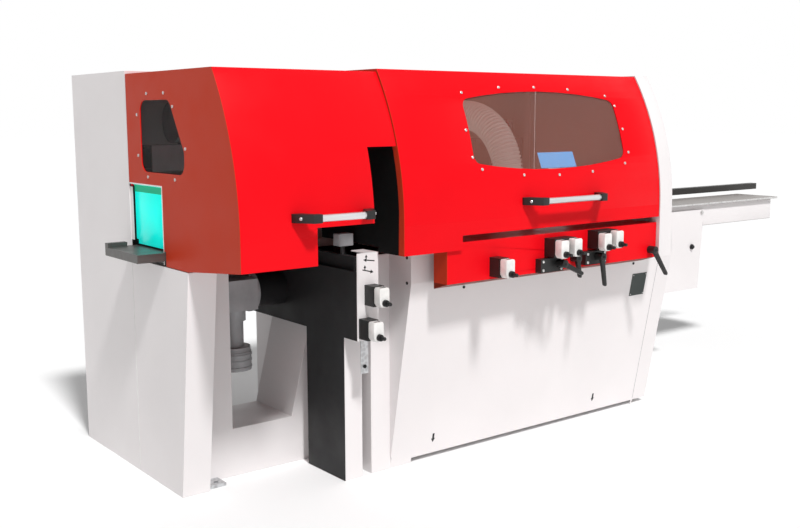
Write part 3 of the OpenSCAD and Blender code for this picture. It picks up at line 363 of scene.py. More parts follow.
for finishName, members in nodeFinish.items():
    for member in members:
        nodeObj = nodes[member]
        nodeObj.data.materials.clear()
        nodeObj.data.materials.append(finishes[finishName])
        if member not in edges["sharp"]:
            softenEdges(nodeObj, edges["width"].get(member, edges["usual"]))
print("finishes on", sum(len(m) for m in nodeFinish.values()), "nodes")

# modelling helpers

shading = {"smooth": 35, "square": 0.9}  # smoothing angle, and least cosine of a face that looks one way


def clearPick():
    if bpy.context.object and bpy.context.object.mode != "OBJECT":
        bpy.ops.object.mode_set(mode="OBJECT")
    bpy.ops.object.select_all(action="DESELECT")


def settle(name):  # the new primitive, with its place and size in its mesh
    piece = bpy.context.object
    piece.name = name
    bpy.ops.object.transform_apply(location=True, rotation=True, scale=True)
    return piece


def startBlock(name, xs, ys, zs):  # between two machine planes on each axis
    clearPick()
    low, high = (at(*corner) for corner in zip(xs, ys, zs))
    bpy.ops.mesh.primitive_cube_add(size=1, location=(low + high) / 2, scale=high - low)
    return settle(name)


def startRod(name, start, end, radius, sides=24, ends="NGON"):  # between two machine points
    clearPick()
    a, b = at(*start), at(*end)
    turn = (b - a).to_track_quat("Z", "Y").to_euler()
    bpy.ops.mesh.primitive_cylinder_add(vertices=sides, radius=radius / 1000, depth=(b - a).length,
                                        location=(a + b) / 2, rotation=turn, end_fill_type=ends)
    return settle(name)


def slab(name, outline, sweep):  # flat outline of machine points, drawn out along one direction
    clearPick()
    bpy.ops.mesh.primitive_circle_add(vertices=len(outline), radius=0.1, fill_type="NGON")
    piece = settle(name)
    for corner, point in zip(piece.data.vertices, outline):
        corner.co = at(*point)
    bpy.ops.object.mode_set(mode="EDIT")
    bpy.ops.mesh.select_all(action="SELECT")
    bpy.ops.mesh.extrude_region_move(TRANSFORM_OT_translate={"value": Vector(sweep) / 1000})
    bpy.ops.mesh.select_all(action="SELECT")
    bpy.ops.mesh.normals_make_consistent(inside=False)
    bpy.ops.object.mode_set(mode="OBJECT")
    return piece


def makeActive(piece):
    clearPick()
    piece.select_set(True)
    bpy.context.view_layer.objects.active = piece


def pickFaces(piece, test):  # leaves the piece in edit mode with those faces picked
    makeActive(piece)
    bpy.ops.object.mode_set(mode="EDIT")
    bpy.ops.mesh.select_mode(type="FACE")
    bpy.ops.mesh.select_all(action="DESELECT")
    bpy.ops.object.mode_set(mode="OBJECT")
    for face in piece.data.polygons:
        face.select = test(face)
    bpy.ops.object.mode_set(mode="EDIT")


def facing(*way):  # faces that look one way
    return lambda face: face.normal.dot(Vector(way)) > shading["square"]


def insetFaces(piece, test, width, depth=0.0):  # frames the faces and lifts or sinks them, in millimetres
    pickFaces(piece, test)
    bpy.ops.mesh.inset(thickness=width / 1000, depth=depth / 1000)
    bpy.ops.object.mode_set(mode="OBJECT")


def applyAll(piece):
    makeActive(piece)
    for modifier in list(piece.modifiers):
        bpy.ops.object.modifier_apply(modifier=modifier.name)


def roundOff(piece, width, segments=2):  # every sharp edge, width in millimetres
    bevel = piece.modifiers.new("edges", "BEVEL")
    bevel.limit_method = "ANGLE"
    bevel.angle_limit = math.radians(edges["angle"])
    bevel.width = width / 1000
    bevel.segments = segments
    applyAll(piece)
    return piece


def wallTo(piece, thickness):  # gives an open sheet its thickness inwards, in millimetres
    wall = piece.modifiers.new("wall", "SOLIDIFY")
    wall.thickness = thickness / 1000
    wall.offset = -1
    applyAll(piece)
    return piece


def gather(name, pieces):
    clearPick()
    for piece in pieces:
        piece.select_set(True)
    bpy.context.view_layer.objects.active = pieces[0]
    bpy.ops.object.join()
    pieces[0].name = name
    return pieces[0]


def standCopy(master, spot, way):  # copy with its own mesh, its +Z turned to a direction
    piece = master.copy()
    piece.data = master.data.copy()
    scene.collection.objects.link(piece)
    piece.data.transform(Matrix.Translation(spot) @ Vector(way).to_track_quat("Z", "Y").to_matrix().to_4x4())
    return piece


def discard(piece):
    bpy.data.objects.remove(piece)


def complete(piece, finish, body, slot, *stoodFor):  # stoodFor names the nodes that the piece replaces
    piece.data.materials.clear()
    piece.data.materials.append(finishes[finish])
    makeActive(piece)
    bpy.ops.object.shade_smooth_by_angle(angle=math.radians(shading["smooth"]))
    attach(piece, body)
    if stoodFor:
        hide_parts(*stoodFor)
    return piece


screwForm = {"crown": 0.25, "dish": 0.3, "rim": 0.28, "socket": 0.7}  # shares of radius and height


def screwHead(name, radius, height, sides=16):  # button head with a socket, standing on the origin
    clearPick()
    bpy.ops.mesh.primitive_cylinder_add(vertices=sides, radius=radius / 1000, depth=height / 1000,
                                        location=(0, 0, height / 2000))
    head = settle(name)
    pickFaces(head, facing(0, 0, 1))
    bpy.ops.mesh.inset(thickness=radius * screwForm["crown"] / 1000, depth=height * screwForm["dish"] / 1000)
    bpy.ops.mesh.inset(thickness=radius * screwForm["rim"] / 1000)
    sink = -height * screwForm["socket"] / 1000
    bpy.ops.mesh.extrude_region_move(TRANSFORM_OT_translate={"value": (0, 0, sink)})
    bpy.ops.object.mode_set(mode="OBJECT")
    return head


hexForm = {"washer": 0.85, "thick": 1.8, "washerEdge": 0.1, "washerStep": 0.3, "corner": 1.732, "rim": 0.08,
           "crown": 0.05}  # thicknesses in millimetres, the rest as shares of the flats


def hexHead(name, flats, height):  # hexagon head on a washer, standing on the origin
    thick = hexForm["thick"]
    clearPick()
    bpy.ops.mesh.primitive_cylinder_add(vertices=24, radius=flats * hexForm["washer"] / 1000,
                                        depth=thick / 1000, location=(0, 0, thick / 2000))
    washer = settle(name)
    insetFaces(washer, facing(0, 0, 1), flats * hexForm["washerEdge"], hexForm["washerStep"])
    clearPick()
    bpy.ops.mesh.primitive_cylinder_add(vertices=6, radius=flats / hexForm["corner"] / 1000,
                                        depth=height / 1000, location=(0, 0, thick / 1000 + height / 2000))
    head = settle(name + "Top")
    insetFaces(head, facing(0, 0, 1), flats * hexForm["rim"], flats * hexForm["crown"])
    return gather(name, [washer, head])


# ribbed extraction hoses

hose = {"places": (880, 1535), "startY": -50, "startZ": 947, "riser": 123, "bend": 280, "endY": 873,
        "valley": 58.6, "rib": 64.6, "pitch": 15, "profile": (0.22, 0.2, 0.16, 0.2, 0.22), "wall": 1.0,
        "sides": 36, "weld": 0.2, "curveSteps": 40, "endPull": 40, "levelPull": 200, "arcPull": 0.5523}


def hoseSegment():  # one pitch of the hose wall, drawn along +X from the origin
    clearPick()
    bpy.ops.mesh.primitive_circle_add(vertices=hose["sides"], radius=hose["valley"] / 1000,
                                      rotation=(0, math.pi / 2, 0))
    ring = settle("hoseSegment")
    bpy.ops.object.mode_set(mode="EDIT")
    bpy.ops.mesh.select_all(action="SELECT")
    swell = hose["rib"] / hose["valley"]
    for share, grow in zip(hose["profile"], (1, swell, 1, 1 / swell, 1)):
        step = share * hose["pitch"] / 1000
        bpy.ops.mesh.extrude_edges_move(TRANSFORM_OT_translate={"value": (step, 0, 0)})
        bpy.ops.transform.resize(value=(1, grow, grow))
    bpy.ops.object.mode_set(mode="OBJECT")
    return ring


def hoseRoute(x):  # riser, quarter bend and level run as one curve
    clearPick()
    bpy.ops.curve.primitive_bezier_curve_add()
    route = settle("hoseRoute")
    route.data.dimensions = "3D"
    route.data.resolution_u = hose["curveSteps"]
    spline = route.data.splines[0]
    spline.bezier_points.add(2)
    bendZ = hose["startZ"] + hose["riser"]
    levelY, levelZ = hose["startY"] + hose["bend"], bendZ + hose["bend"]
    end, level, arc = hose["endPull"], hose["levelPull"], hose["bend"] * hose["arcPull"]
    up, back = Vector((0, 0, 1)), Vector((0, 1, 0))
    stops = [((x, hose["startY"], hose["startZ"]), end, end, up),
             ((x, hose["startY"], bendZ), end, arc, up),
             ((x, levelY, levelZ), arc, level, back),
             ((x, hose["endY"], levelZ), level, end, back)]
    for knot, (spot, before, after, way) in zip(spline.bezier_points, stops):
        knot.handle_left_type = knot.handle_right_type = "FREE"
        knot.co = at(*spot)
        knot.handle_left = knot.co - way * before / 1000
        knot.handle_right = knot.co + way * after / 1000
    return route


hosePieces = []
for x in hose["places"]:
    skin = hoseSegment()
    route = hoseRoute(x)
    length = hose["riser"] + hose["bend"] * math.pi / 2 + hose["endY"] - hose["startY"] - hose["bend"]
    ribs = skin.modifiers.new("ribs", "ARRAY")
    ribs.count = int(length / hose["pitch"])
    ribs.use_relative_offset = False
    ribs.use_constant_offset = True
    ribs.constant_offset_displace = (hose["pitch"] / 1000, 0, 0)
    ribs.use_merge_vertices = True
    ribs.merge_threshold = hose["weld"] / 1000
    follow = skin.modifiers.new("follow", "CURVE")
    follow.object = route
    follow.deform_axis = "POS_X"
    applyAll(skin)
    wallTo(skin, hose["wall"])
    discard(route)
    hosePieces.append(skin)
ribbedHoses = gather("ribbedHoses", hosePieces)
complete(ribbedHoses, "hose", "frame", "hose_plastic", "extraction_hoses")
print("hoses", len(ribbedHoses.data.polygons), "faces")

# hood handles: tube between two moulded ends

handle = {"y": -523, "z": 1027, "tube": 12, "lap": 8, "wall": 14.5, "seat": -464, "heel": -6, "heelDeep": 12,
          "foot": 32, "slope": 14, "toe": 34, "reach": 67, "rim": (1.2, -0.8), "round": 5,
          "screw": (5.5, 3.5), "screwX": 9, "screwY": -499, "screwWay": (-0.836, -0.548),
          "ends": {"left": (193, 500), "right": (1216, 1646)}}
handleScrew = screwHead("handleScrew", *handle["screw"])
for side, (x0, x1) in handle["ends"].items():
    y, z, wall, seat, reach = handle["y"], handle["z"], handle["wall"], handle["seat"], handle["reach"]
    wayX, wayY = handle["screwWay"]
    plan = [(handle["heel"], seat), (handle["foot"], seat), (reach - handle["slope"], y + wall),
            (reach, y + wall), (reach, y - wall), (handle["toe"], y - wall),
            (handle["heel"], seat - handle["heelDeep"])]
    moulded, heads = [], []
    for x, inward in ((x0, 1), (x1, -1)):
        end = slab("handleEnd", [(x + inward * px, py, z - wall) for px, py in plan], (0, 0, 2 * wall))
        insetFaces(end, facing(inward, 0, 0), *handle["rim"])  # step round the tube's seat
        moulded.append(roundOff(end, handle["round"], 3))
        spot = at(x + inward * handle["screwX"], handle["screwY"], z)
        heads.append(standCopy(handleScrew, spot, (wayX * inward, wayY, 0)))
    complete(gather(side + "HandleEnds", moulded), "black", side + "_hood", "handle_metal")
    run = reach - handle["lap"]
    tube = startRod(side + "HandleTube", (x0 + run, y, z), (x1 - run, y, z), handle["tube"], 32)
    insetFaces(tube, lambda face: abs(face.normal.x) > shading["square"], 3)
    complete(tube, "tube", side + "_hood", "handle_metal", side + "_handle")
    complete(gather(side + "HandleScrews", heads), "steel", side + "_hood", "handle_metal")
discard(handleScrew)
print("handles done")

# position indicators: moulded covers, reading panes, collars round the shafts

indicator = {"xs": (1077, 1367, 1441, 1615, 1686), "zs": (770, 818, 820, 827, 833), "plane": -455,
             "postXs": (606, 580), "postZs": (695, 575), "postPlane": -309, "body": 55, "cover": 35,
             "half": 21.5, "low": 16, "high": 54, "shoulder": (4, 6), "chamfer": 13, "taper": 0.7,
             "rim": (4, 0.6), "round": 2.2}
pane = {"half": 12, "y": (8, 17), "z": (-0.8, 0.5), "rim": (1.2, -0.4)}
collar = {"y": (0.3, -11), "radius": 12.5, "wall": 5.2, "round": 1.2}
spots = [(x, indicator["plane"], z) for x, z in zip(indicator["xs"], indicator["zs"])]
spots += [(x, indicator["postPlane"], z) for x, z in zip(indicator["postXs"], indicator["postZs"])]
shells, panes, collars = [], [], []
for x, plane, z in spots:
    w, low, high, cut = indicator["half"], indicator["low"], indicator["high"], indicator["chamfer"]
    stepX, stepZ = indicator["shoulder"]
    narrow = w - cut * indicator["taper"]
    back = plane - indicator["body"]
    front = back - indicator["cover"]
    shape = [(-w, high - stepZ), (-w + stepX, high), (w - stepX, high), (w, high - stepZ),
             (w, -low + cut), (narrow, -low), (-narrow, -low), (-w, -low + cut)]
    shell = slab("indicatorCover", [(x + px, back, z + pz) for px, pz in shape], (0, front - back, 0))
    insetFaces(shell, facing(0, -1, 0), *indicator["rim"])
    shells.append(roundOff(shell, indicator["round"], 3))
    glass = startBlock("readingPane", (x - pane["half"], x + pane["half"]),
                       [front + deep for deep in pane["y"]], [z + high + lift for lift in pane["z"]])
    insetFaces(glass, facing(0, 0, 1), *pane["rim"])
    panes.append(glass)
    inner, outer = ((x, front + deep, z) for deep in collar["y"])
    sleeve = startRod("shaftCollar", inner, outer, collar["radius"], 28, "NOTHING")
    wallTo(sleeve, collar["wall"])
    collars.append(roundOff(sleeve, collar["round"]))
complete(gather("indicatorShells", shells), "cover", "frame", "white_plastic", "indicator_covers")
complete(gather("readingPanes", panes), "black", "frame", "black_plastic")
complete(gather("shaftCollars", collars), "black", "frame", "black_plastic")
print("indicators done")

# clamp levers: bored hub with a flared arm

lever = {"spots": ((1395, -485.5, 776), (1618, -485.5, 784), (1985, -455.5, 778), (1506, -455.5, 784)),
         "angles": (-27, -88, -58, -90), "arms": (98, 112, 126, 70), "root": (9, 12.5), "neck": (26, 10),
         "tip": ((0, 7.5), (5, 5), (7, 0)), "armY": 18, "rise": 14, "thick": 14, "round": 3.5,
         "hub": 16, "deep": 36, "bore": 6.2, "boreDeep": 31.2, "crown": (3.5, 2),
         "screw": (6, 2.5), "screwIn": 1.5}
leverScrew = screwHead("leverScrew", *lever["screw"])
for i, ((x, y, z), angle, arm) in enumerate(zip(lever["spots"], lever["angles"], lever["arms"]), 1):
    hub = startRod("leverHub", (x, y, z), (x, y - lever["deep"], z), lever["hub"], 32)
    pickFaces(hub, facing(0, 1, 0))
    bpy.ops.mesh.inset(thickness=(lever["hub"] - lever["bore"]) / 1000)
    bpy.ops.mesh.extrude_region_move(TRANSFORM_OT_translate={"value": (0, -lever["boreDeep"] / 1000, 0)})
    insetFaces(hub, facing(0, -1, 0), *lever["crown"])
    turn = math.radians(angle)
    along = Vector((math.cos(turn), 0, math.sin(turn)))
    across = Vector((-math.sin(turn), 0, math.cos(turn)))
    upper = [lever["root"], lever["neck"], *((arm + far, wide) for far, wide in lever["tip"])]
    shape = upper + [(far, -wide) for far, wide in reversed(upper[:-1])]
    outline = []
    for far, wide in shape:
        middle = Vector((x, y - lever["armY"] - lever["rise"] * far / arm, z))
        outline.append(tuple(middle + along * far + across * wide))
    grip = roundOff(slab("leverArm", outline, (0, -lever["thick"], 0)), lever["round"], 3)
    node = "lever_%d" % i
    complete(gather("clampLever%d" % i, [hub, grip]), "black", node, "black_plastic", node)
    cap = standCopy(leverScrew, at(x, y - lever["deep"] - lever["screwIn"], z), (0, -1, 0))
    cap.name = "leverScrew%d" % i
    complete(cap, "blackSteel", node, "black_plastic")
discard(leverScrew)
print("levers done")

# screws round the windows and on the clamp blocks

buttonHead = {"radius": 5.5, "height": 3}
frontScrews = {"spots": [(994, 1432), (1192, 1454), (1382, 1457), (1571, 1451), (1783, 1427), (1823, 1386),
                         (1834, 1291), (1843, 1196), (1813, 1152), (1611, 1125), (1418, 1119), (1226, 1125),
                         (1016, 1153), (976, 1198), (967, 1296)]}  # X and Z on the right hood
endScrews = {"spots": [(177, 1428), (40, 1428), (-27, 1381), (-114, 1242), (-29, 1136), (189, 1136),
                       (265, 1210), (265, 1355)]}  # Y and Z on the end plate
clampScrews = {"front": -485, "blocks": [(1358, 771), (1612, 779)], "across": 50, "up": 17}
hoodArc = {"radius": 1014, "y": 547, "z": 970}  # right hood's round, as seen from the end


def onHood(x, z):  # spot and direction on the right hood's round front
    drop = z - hoodArc["z"]
    y = hoodArc["y"] - math.sqrt(hoodArc["radius"] ** 2 - drop ** 2)
    return at(x, y, z), (0, (y - hoodArc["y"]) / hoodArc["radius"], drop / hoodArc["radius"])


buttonScrew = screwHead("buttonScrew", buttonHead["radius"], buttonHead["height"])
heads = [standCopy(buttonScrew, *onHood(x, z)) for x, z in frontScrews["spots"]]
complete(gather("frontWindowScrews", heads), "nickel", "right_hood", "bright_steel")
heads = [standCopy(buttonScrew, at(0, y, z), (-1, 0, 0)) for y, z in endScrews["spots"]]
complete(gather("endWindowScrews", heads), "nickel", "left_hood", "bright_steel")
heads = []
for x, z in clampScrews["blocks"]:
    for dx in (-clampScrews["across"], clampScrews["across"]):
        for dz in (-clampScrews["up"], clampScrews["up"]):
            heads.append(standCopy(buttonScrew, at(x + dx, clampScrews["front"], z + dz), (0, -1, 0)))
complete(gather("clampScrews", heads), "nickel", "frame", "bright_steel")
print("window and clamp screws done")

# clear flap at the outfeed, with a darker green band along its top, a jamb and edge strips

flap = {"x": 12, "thick": 3, "y": (88, 341), "z": (884, 1106), "notch": (324, 900), "round": 0.8,
        "rodX": 10, "rodY": (65, 354), "rodR": 5}
(y0, y1), (low, top), (notchY, notchZ) = flap["y"], flap["z"], flap["notch"]
shape = [(y0, low), (notchY, low), (notchY, notchZ), (y1, notchZ), (y1, top), (y0, top)]
sheet = slab("flapSheet", [(flap["x"], y, z) for y, z in shape], (flap["thick"], 0, 0))
roundOff(sheet, flap["round"])
near, far = ((flap["rodX"], y, top) for y in flap["rodY"])
rod = startRod("flapRod", near, far, flap["rodR"], 28)
roundOff(rod, 1)
complete(gather("outfeedFlapSheet", [sheet, rod]), "flap", "flap", "flap_plastic", "outfeed_flap")

topBand = {"x": (10.8, 11.95), "y": (88.5, 340.5), "z": (1076, 1105), "rim": (3, -0.2), "round": 0.3}
band = startBlock("flapTopBand", topBand["x"], topBand["y"], topBand["z"])
insetFaces(band, facing(-1, 0, 0), *topBand["rim"])
complete(roundOff(band, topBand["round"], 1), "topBand", "flap", "flap_plastic")

jamb = {"x": (4.2, 11), "y": (343.5, 380), "z": (896, 1093), "thick": 1.6, "round": 0.4}
(x0, x1), (y0, y1), thick = jamb["x"], jamb["y"], jamb["thick"]
shape = [(x0, y0), (x0 + thick, y0), (x0 + thick, y1 - thick), (x1, y1 - thick), (x1, y1), (x0, y1)]
angle = slab("flapJamb", [(x, y, jamb["z"][0]) for x, y in shape], (0, 0, jamb["z"][1] - jamb["z"][0]))
complete(roundOff(angle, jamb["round"], 1), "white", "frame", "white_paint")

mouth = {"x": -1.2, "thick": 1.15, "y": (80, 361), "z": (832, 1109), "joint": 880, "strip": 4.5, "round": 0.3}
(y0, y1), (low, top), strip = mouth["y"], mouth["z"], mouth["strip"]
shape = [(y0, low), (y0, top), (y1, top), (y1, top - strip), (y0 + strip, top - strip),
         (y0 + strip, mouth["joint"]), (y0 + strip, low)]
edging = slab("mouthEdging", [(mouth["x"], y, z) for y, z in shape], (mouth["thick"], 0, 0))
complete(roundOff(edging, mouth["round"], 1), "cover", "left_hood", "white_plastic")
print("flap done")

# near-black sheet on the right hood's closed side, seen through the slot: painted shade standing in for the
# hood's shaded inside

shadeSheet = {"x": 638.9, "thick": 0.9, "inset": 27, "z": (1018, 1500), "steps": 12, "back": 354, "round": 0.2,
         "lowEdge": [(354, 1178), (184, 1178), (184, 1018), (48, 1018), (48, 886.2), (-316.8, 886.2),
                     (-316.8, 865.4), (-436, 865.4)]}
low, top = shadeSheet["z"]
radius = hoodArc["radius"] - shadeSheet["inset"]
shape = []
for step in range(shadeSheet["steps"] + 1):
    z = low + (top - low) * step / shadeSheet["steps"]
    shape.append((hoodArc["y"] - math.sqrt(radius ** 2 - (z - hoodArc["z"]) ** 2), z))
shape += [(shadeSheet["back"], top), *shadeSheet["lowEdge"]]
board = slab("slotShadeSheet", [(shadeSheet["x"], y, z) for y, z in shape], (shadeSheet["thick"], 0, 0))
complete(roundOff(board, shadeSheet["round"], 1), "paintedShade", "right_hood", "dark_paint")
print("liner done")

# plain blue plate held inside the front window's lower edge

bluePlate = {"x": (1338, 1536), "low": (-438, 1146), "top": (-402, 1205), "lean": 12, "thick": 2,
             "rim": (6, 0.6), "round": 0.5, "foot": (-449, 1112), "footX": 1378, "footLong": 120}
(x0, x1), low, top, foot = bluePlate["x"], bluePlate["low"], bluePlate["top"], bluePlate["foot"]
lean, thick, footX = bluePlate["lean"], bluePlate["thick"], bluePlate["footX"]
face = slab("blueFace", [(x0, *low), (x1, *low), (x1 + lean, *top), (x0 + lean, *top)], (0, thick, 0))
insetFaces(face, lambda side: side.normal.y < -0.6, *bluePlate["rim"])
complete(roundOff(face, bluePlate["round"], 1), "bluePlate", "right_hood", "white_plastic")
profile = [(low[0] + thick, low[1]), (low[0] + 2 * thick, low[1]), (foot[0] + thick, foot[1]), foot]
footing = slab("bluePlateFoot", [(footX, y, z) for y, z in profile], (bluePlate["footLong"], 0, 0))
complete(roundOff(footing, bluePlate["round"], 1), "zinc", "right_hood", "bright_steel")
print("blue plate done")

# marks and small fittings on the base cover and the bed nose

baseFront = {"toe": 210, "lean": 0.183, "screwXs": (1029, 2026), "screwZ": 700}
outward = Vector((0, -1, -baseFront["lean"])).normalized()


def onBase(x, z, lift=0.0):  # spot on the base's leaning front
    y = -baseFront["toe"] - baseFront["lean"] * z
    return (x, y + outward.y * lift, z + outward.z * lift)


def basePanel(name, xs, zs, thick):  # flat piece lying on that front
    corners = [(xs[0], zs[0]), (xs[1], zs[0]), (xs[1], zs[1]), (xs[0], zs[1])]
    return slab(name, [onBase(x, z) for x, z in corners], outward * thick)


barePlate = {"x": (2036, 2133), "z": (548, 650), "thick": 1.5, "rim": (4, -0.4), "round": 0.4,
             "rivet": (2.6, 1.6), "rivetIn": 7, "rivetLift": 1.3}
plate = basePanel("barePlate", barePlate["x"], barePlate["z"], barePlate["thick"])
insetFaces(plate, facing(*outward), *barePlate["rim"])
complete(roundOff(plate, barePlate["round"]), "plateDark", "frame", "dark_paint")
rivet = screwHead("rivet", *barePlate["rivet"], 12)
(x0, x1), (z0, z1), edge = barePlate["x"], barePlate["z"], barePlate["rivetIn"]
heads = []
for x in (x0 + edge, x1 - edge):
    for z in (z0 + edge, z1 - edge):
        heads.append(standCopy(rivet, at(*onBase(x, z, barePlate["rivetLift"])), outward))
complete(gather("plateRivets", heads), "nickel", "frame", "bright_steel")
discard(rivet)
heads = [standCopy(buttonScrew, at(*onBase(x, baseFront["screwZ"])), outward) for x in baseFront["screwXs"]]
complete(gather("coverScrews", heads), "blackSteel", "frame", "dark_steel")

liftArrow = {"xs": (972, 1908), "z": 86, "thick": 0.5, "round": 0.15,
             "shape": [(-5, 18), (5, 18), (5, -3), (10, -3), (0, -20), (-10, -3), (-5, -3)]}  # points down
marks = []
for x in liftArrow["xs"]:
    outline = [onBase(x + px, liftArrow["z"] + pz) for px, pz in liftArrow["shape"]]
    marks.append(roundOff(slab("downArrow", outline, outward * liftArrow["thick"]), liftArrow["round"], 1))
complete(gather("liftArrows", marks), "ink", "frame", "dark_paint")

noseArrow = {"front": -309, "thick": 0.5, "round": 0.15, "places": ((604, 838, 172), (598, 800, -14)),
             "long": [(-24, 2), (12, 2), (12, 7), (26, 0), (12, -7), (12, -2), (-24, -2)],
             "up": [(-15, 4), (-11, 4), (-11, 12), (-7, 12), (-13, 22), (-19, 12), (-15, 12)]}
marks = []
for x, z, degrees in noseArrow["places"]:  # the long arrow is turned, the short one points up
    turn = math.radians(degrees)
    cos, sin = math.cos(turn), math.sin(turn)
    turned = [(px * cos - pz * sin, px * sin + pz * cos) for px, pz in noseArrow["long"]]
    for shape in (turned, noseArrow["up"]):
        outline = [(x + px, noseArrow["front"], z + pz) for px, pz in shape]
        mark = slab("noseArrow", outline, (0, -noseArrow["thick"], 0))
        marks.append(roundOff(mark, noseArrow["round"], 1))
complete(gather("noseArrows", marks), "ink", "frame", "dark_paint")

latch = {"x": (568, 601), "y": (-305, -301.5), "z": (425, 548), "rim": (4, -0.8), "round": 0.8,
         "eye": (7, 3), "eyeAt": (584, -305, 452)}
strap = startBlock("latchStrap", latch["x"], latch["y"], latch["z"])
insetFaces(strap, facing(0, -1, 0), *latch["rim"])
complete(roundOff(strap, latch["round"]), "zinc", "frame", "bright_steel")
eye = screwHead("latchEye", *latch["eye"], 20)
complete(standCopy(eye, at(*latch["eyeAt"]), (0, -1, 0)), "blackSteel", "frame", "dark_steel")
discard(eye)

# painted shade: near-black discs in two side holes stand in for the shade inside the holes
holeShades = {"spots": ((767, -321, 740), (767, -321, 834)), "head": (6, 1.6)}
holeShade = screwHead("holeShadeDisc", *holeShades["head"])
heads = [standCopy(holeShade, at(*spot), (-1, 0, 0)) for spot in holeShades["spots"]]
complete(gather("sideHoleShades", heads), "ink", "frame", "dark_paint")
discard(holeShade)

legSeam = {"x": (2198.6, 2200.6), "z": (26, 738), "thick": 0.4, "round": 0.1}  # cover against right leg
joint = basePanel("legSeam", legSeam["x"], legSeam["z"], legSeam["thick"])
complete(roundOff(joint, legSeam["round"], 1), "grey", "frame", "grey_paint")
print("base and nose fittings done")

# stop block on the bed's first rib, seen through the notch

stop = {"x": (566, 627), "y": (-180, -138), "z": (877, 922), "rim": (6, -2), "round": 2,
        "stemFoot": (592, -160, 846), "stemTop": (592, -160, 877.5), "stemR": 10, "stemRim": (2, -1)}
block = startBlock("stopBlock", stop["x"], stop["y"], stop["z"])
insetFaces(block, facing(0, -1, 0), *stop["rim"])
# painted shade: grey paint stands in for a pale block seen in the notch's shade
complete(roundOff(block, stop["round"]), "grey", "frame", "grey_paint")
stem = startRod("stopStem", stop["stemFoot"], stop["stemTop"], stop["stemR"], 32)
insetFaces(stem, lambda side: abs(side.normal.z) < 0.3, *stop["stemRim"])
complete(roundOff(stem, 0.5, 1), "blackSteel", "frame", "dark_steel")
print("stop block done")

# infeed table: white apron, bright steel lip as a painted highlight of the lit front edge, slotted rail,
# table fixings

apron = {"x": (2302, 3826), "y": 132.6, "thick": 2.2, "z": (774, 864), "deepX": 3184, "deepZ": 752,
         "round": 0.8}
(x0, x1), (z0, z1), deepX, deepZ = apron["x"], apron["z"], apron["deepX"], apron["deepZ"]
shape = [(x0, z0), (deepX, z0), (deepX, deepZ), (x1, deepZ), (x1, z1), (x0, z1)]
skirt = slab("infeedApron", [(x, apron["y"], z) for x, z in shape], (0, apron["thick"], 0))
complete(roundOff(skirt, apron["round"]), "white", "infeed_table", "white_paint")

# painted highlight: this bright steel strip along the front edge stands in for the edge's sunlit highlight
tableLip = {"x": (2116, 3859), "y": (109.2, 110.1), "z": (866.6, 875.8), "rim": (1.2, 0.2), "round": 0.2}
lip = startBlock("tableLip", tableLip["x"], tableLip["y"], tableLip["z"])
insetFaces(lip, facing(0, -1, 0), *tableLip["rim"])
complete(roundOff(lip, tableLip["round"], 1), "nickel", "infeed_table", "bright_steel")

rail = {"x": (2115, 4064.5), "y": (384.4, 425.6), "z": (896.4, 931.6), "slot": 8, "slotDeep": 0.3}
(x0, x1), (y0, y1), (z0, z1), deep = rail["x"], rail["y"], rail["z"], rail["slotDeep"]
midY, midZ, half = (y0 + y1) / 2, (z0 + z1) / 2, rail["slot"] / 2
shape = [(y0, z0), (y1, z0), (y1, z1), (midY + half, z1), (midY + half, z1 - deep), (midY - half, z1 - deep),
         (midY - half, z1), (y0, z1), (y0, midZ + half), (y0 + deep, midZ + half), (y0 + deep, midZ - half),
         (y0, midZ - half)]
sleeve = slab("guideRail", [(x0, y, z) for y, z in shape], (x1 - x0, 0, 0))
complete(sleeve, "rail", "infeed_table", "dark_steel")

fixing = {"spots": ((3152, 120, 824), (2330, 120, 800), (2330, 120, 450), (2700, 120, 450)),
          "flats": 15, "height": 6}
hexBolt = hexHead("hexBolt", fixing["flats"], fixing["height"])
heads = [standCopy(hexBolt, at(*spot), (0, -1, 0)) for spot in fixing["spots"]]
complete(gather("supportBolts", heads), "nickel", "frame", "bright_steel")
discard(hexBolt)
print("infeed fittings done")

# feed gearmotor: flange bolts and fan cover rings

flange = {"x": 404, "y": 226, "z": 676, "circle": 71, "angles": (-113, -67, -20, 20, 67, 113),
          "flats": 10, "height": 5}
smallHex = hexHead("smallHex", flange["flats"], flange["height"])
heads = []
for angle in flange["angles"]:
    turn = math.radians(angle)
    y = flange["y"] + flange["circle"] * math.cos(turn)
    z = flange["z"] + flange["circle"] * math.sin(turn)
    heads.append(standCopy(smallHex, at(flange["x"], y, z), (-1, 0, 0)))
complete(gather("flangeBolts", heads), "nickel", "frame", "bright_steel")
discard(smallHex)

fanCover = {"x": 335, "y": 212, "radius": 67.2, "bands": (441, 418, 392), "half": 4, "wall": 2.1, "round": 1}
rings = []
x, y, half = fanCover["x"], fanCover["y"], fanCover["half"]
for z in fanCover["bands"]:
    ring = startRod("fanRing", (x, y, z - half), (x, y, z + half), fanCover["radius"], 48, "NOTHING")
    wallTo(ring, fanCover["wall"])
    rings.append(roundOff(ring, fanCover["round"]))
complete(gather("fanCoverRings", rings), "drive", "frame", "grey_paint")
print("gearmotor fittings done")

# rear side: door latches, hinges, louvres, cable gland, panel screws

rear = {"door": 895, "back": 899}  # faces of the cabinet doors and of the rear sheet
door, back = rear["door"], rear["back"]

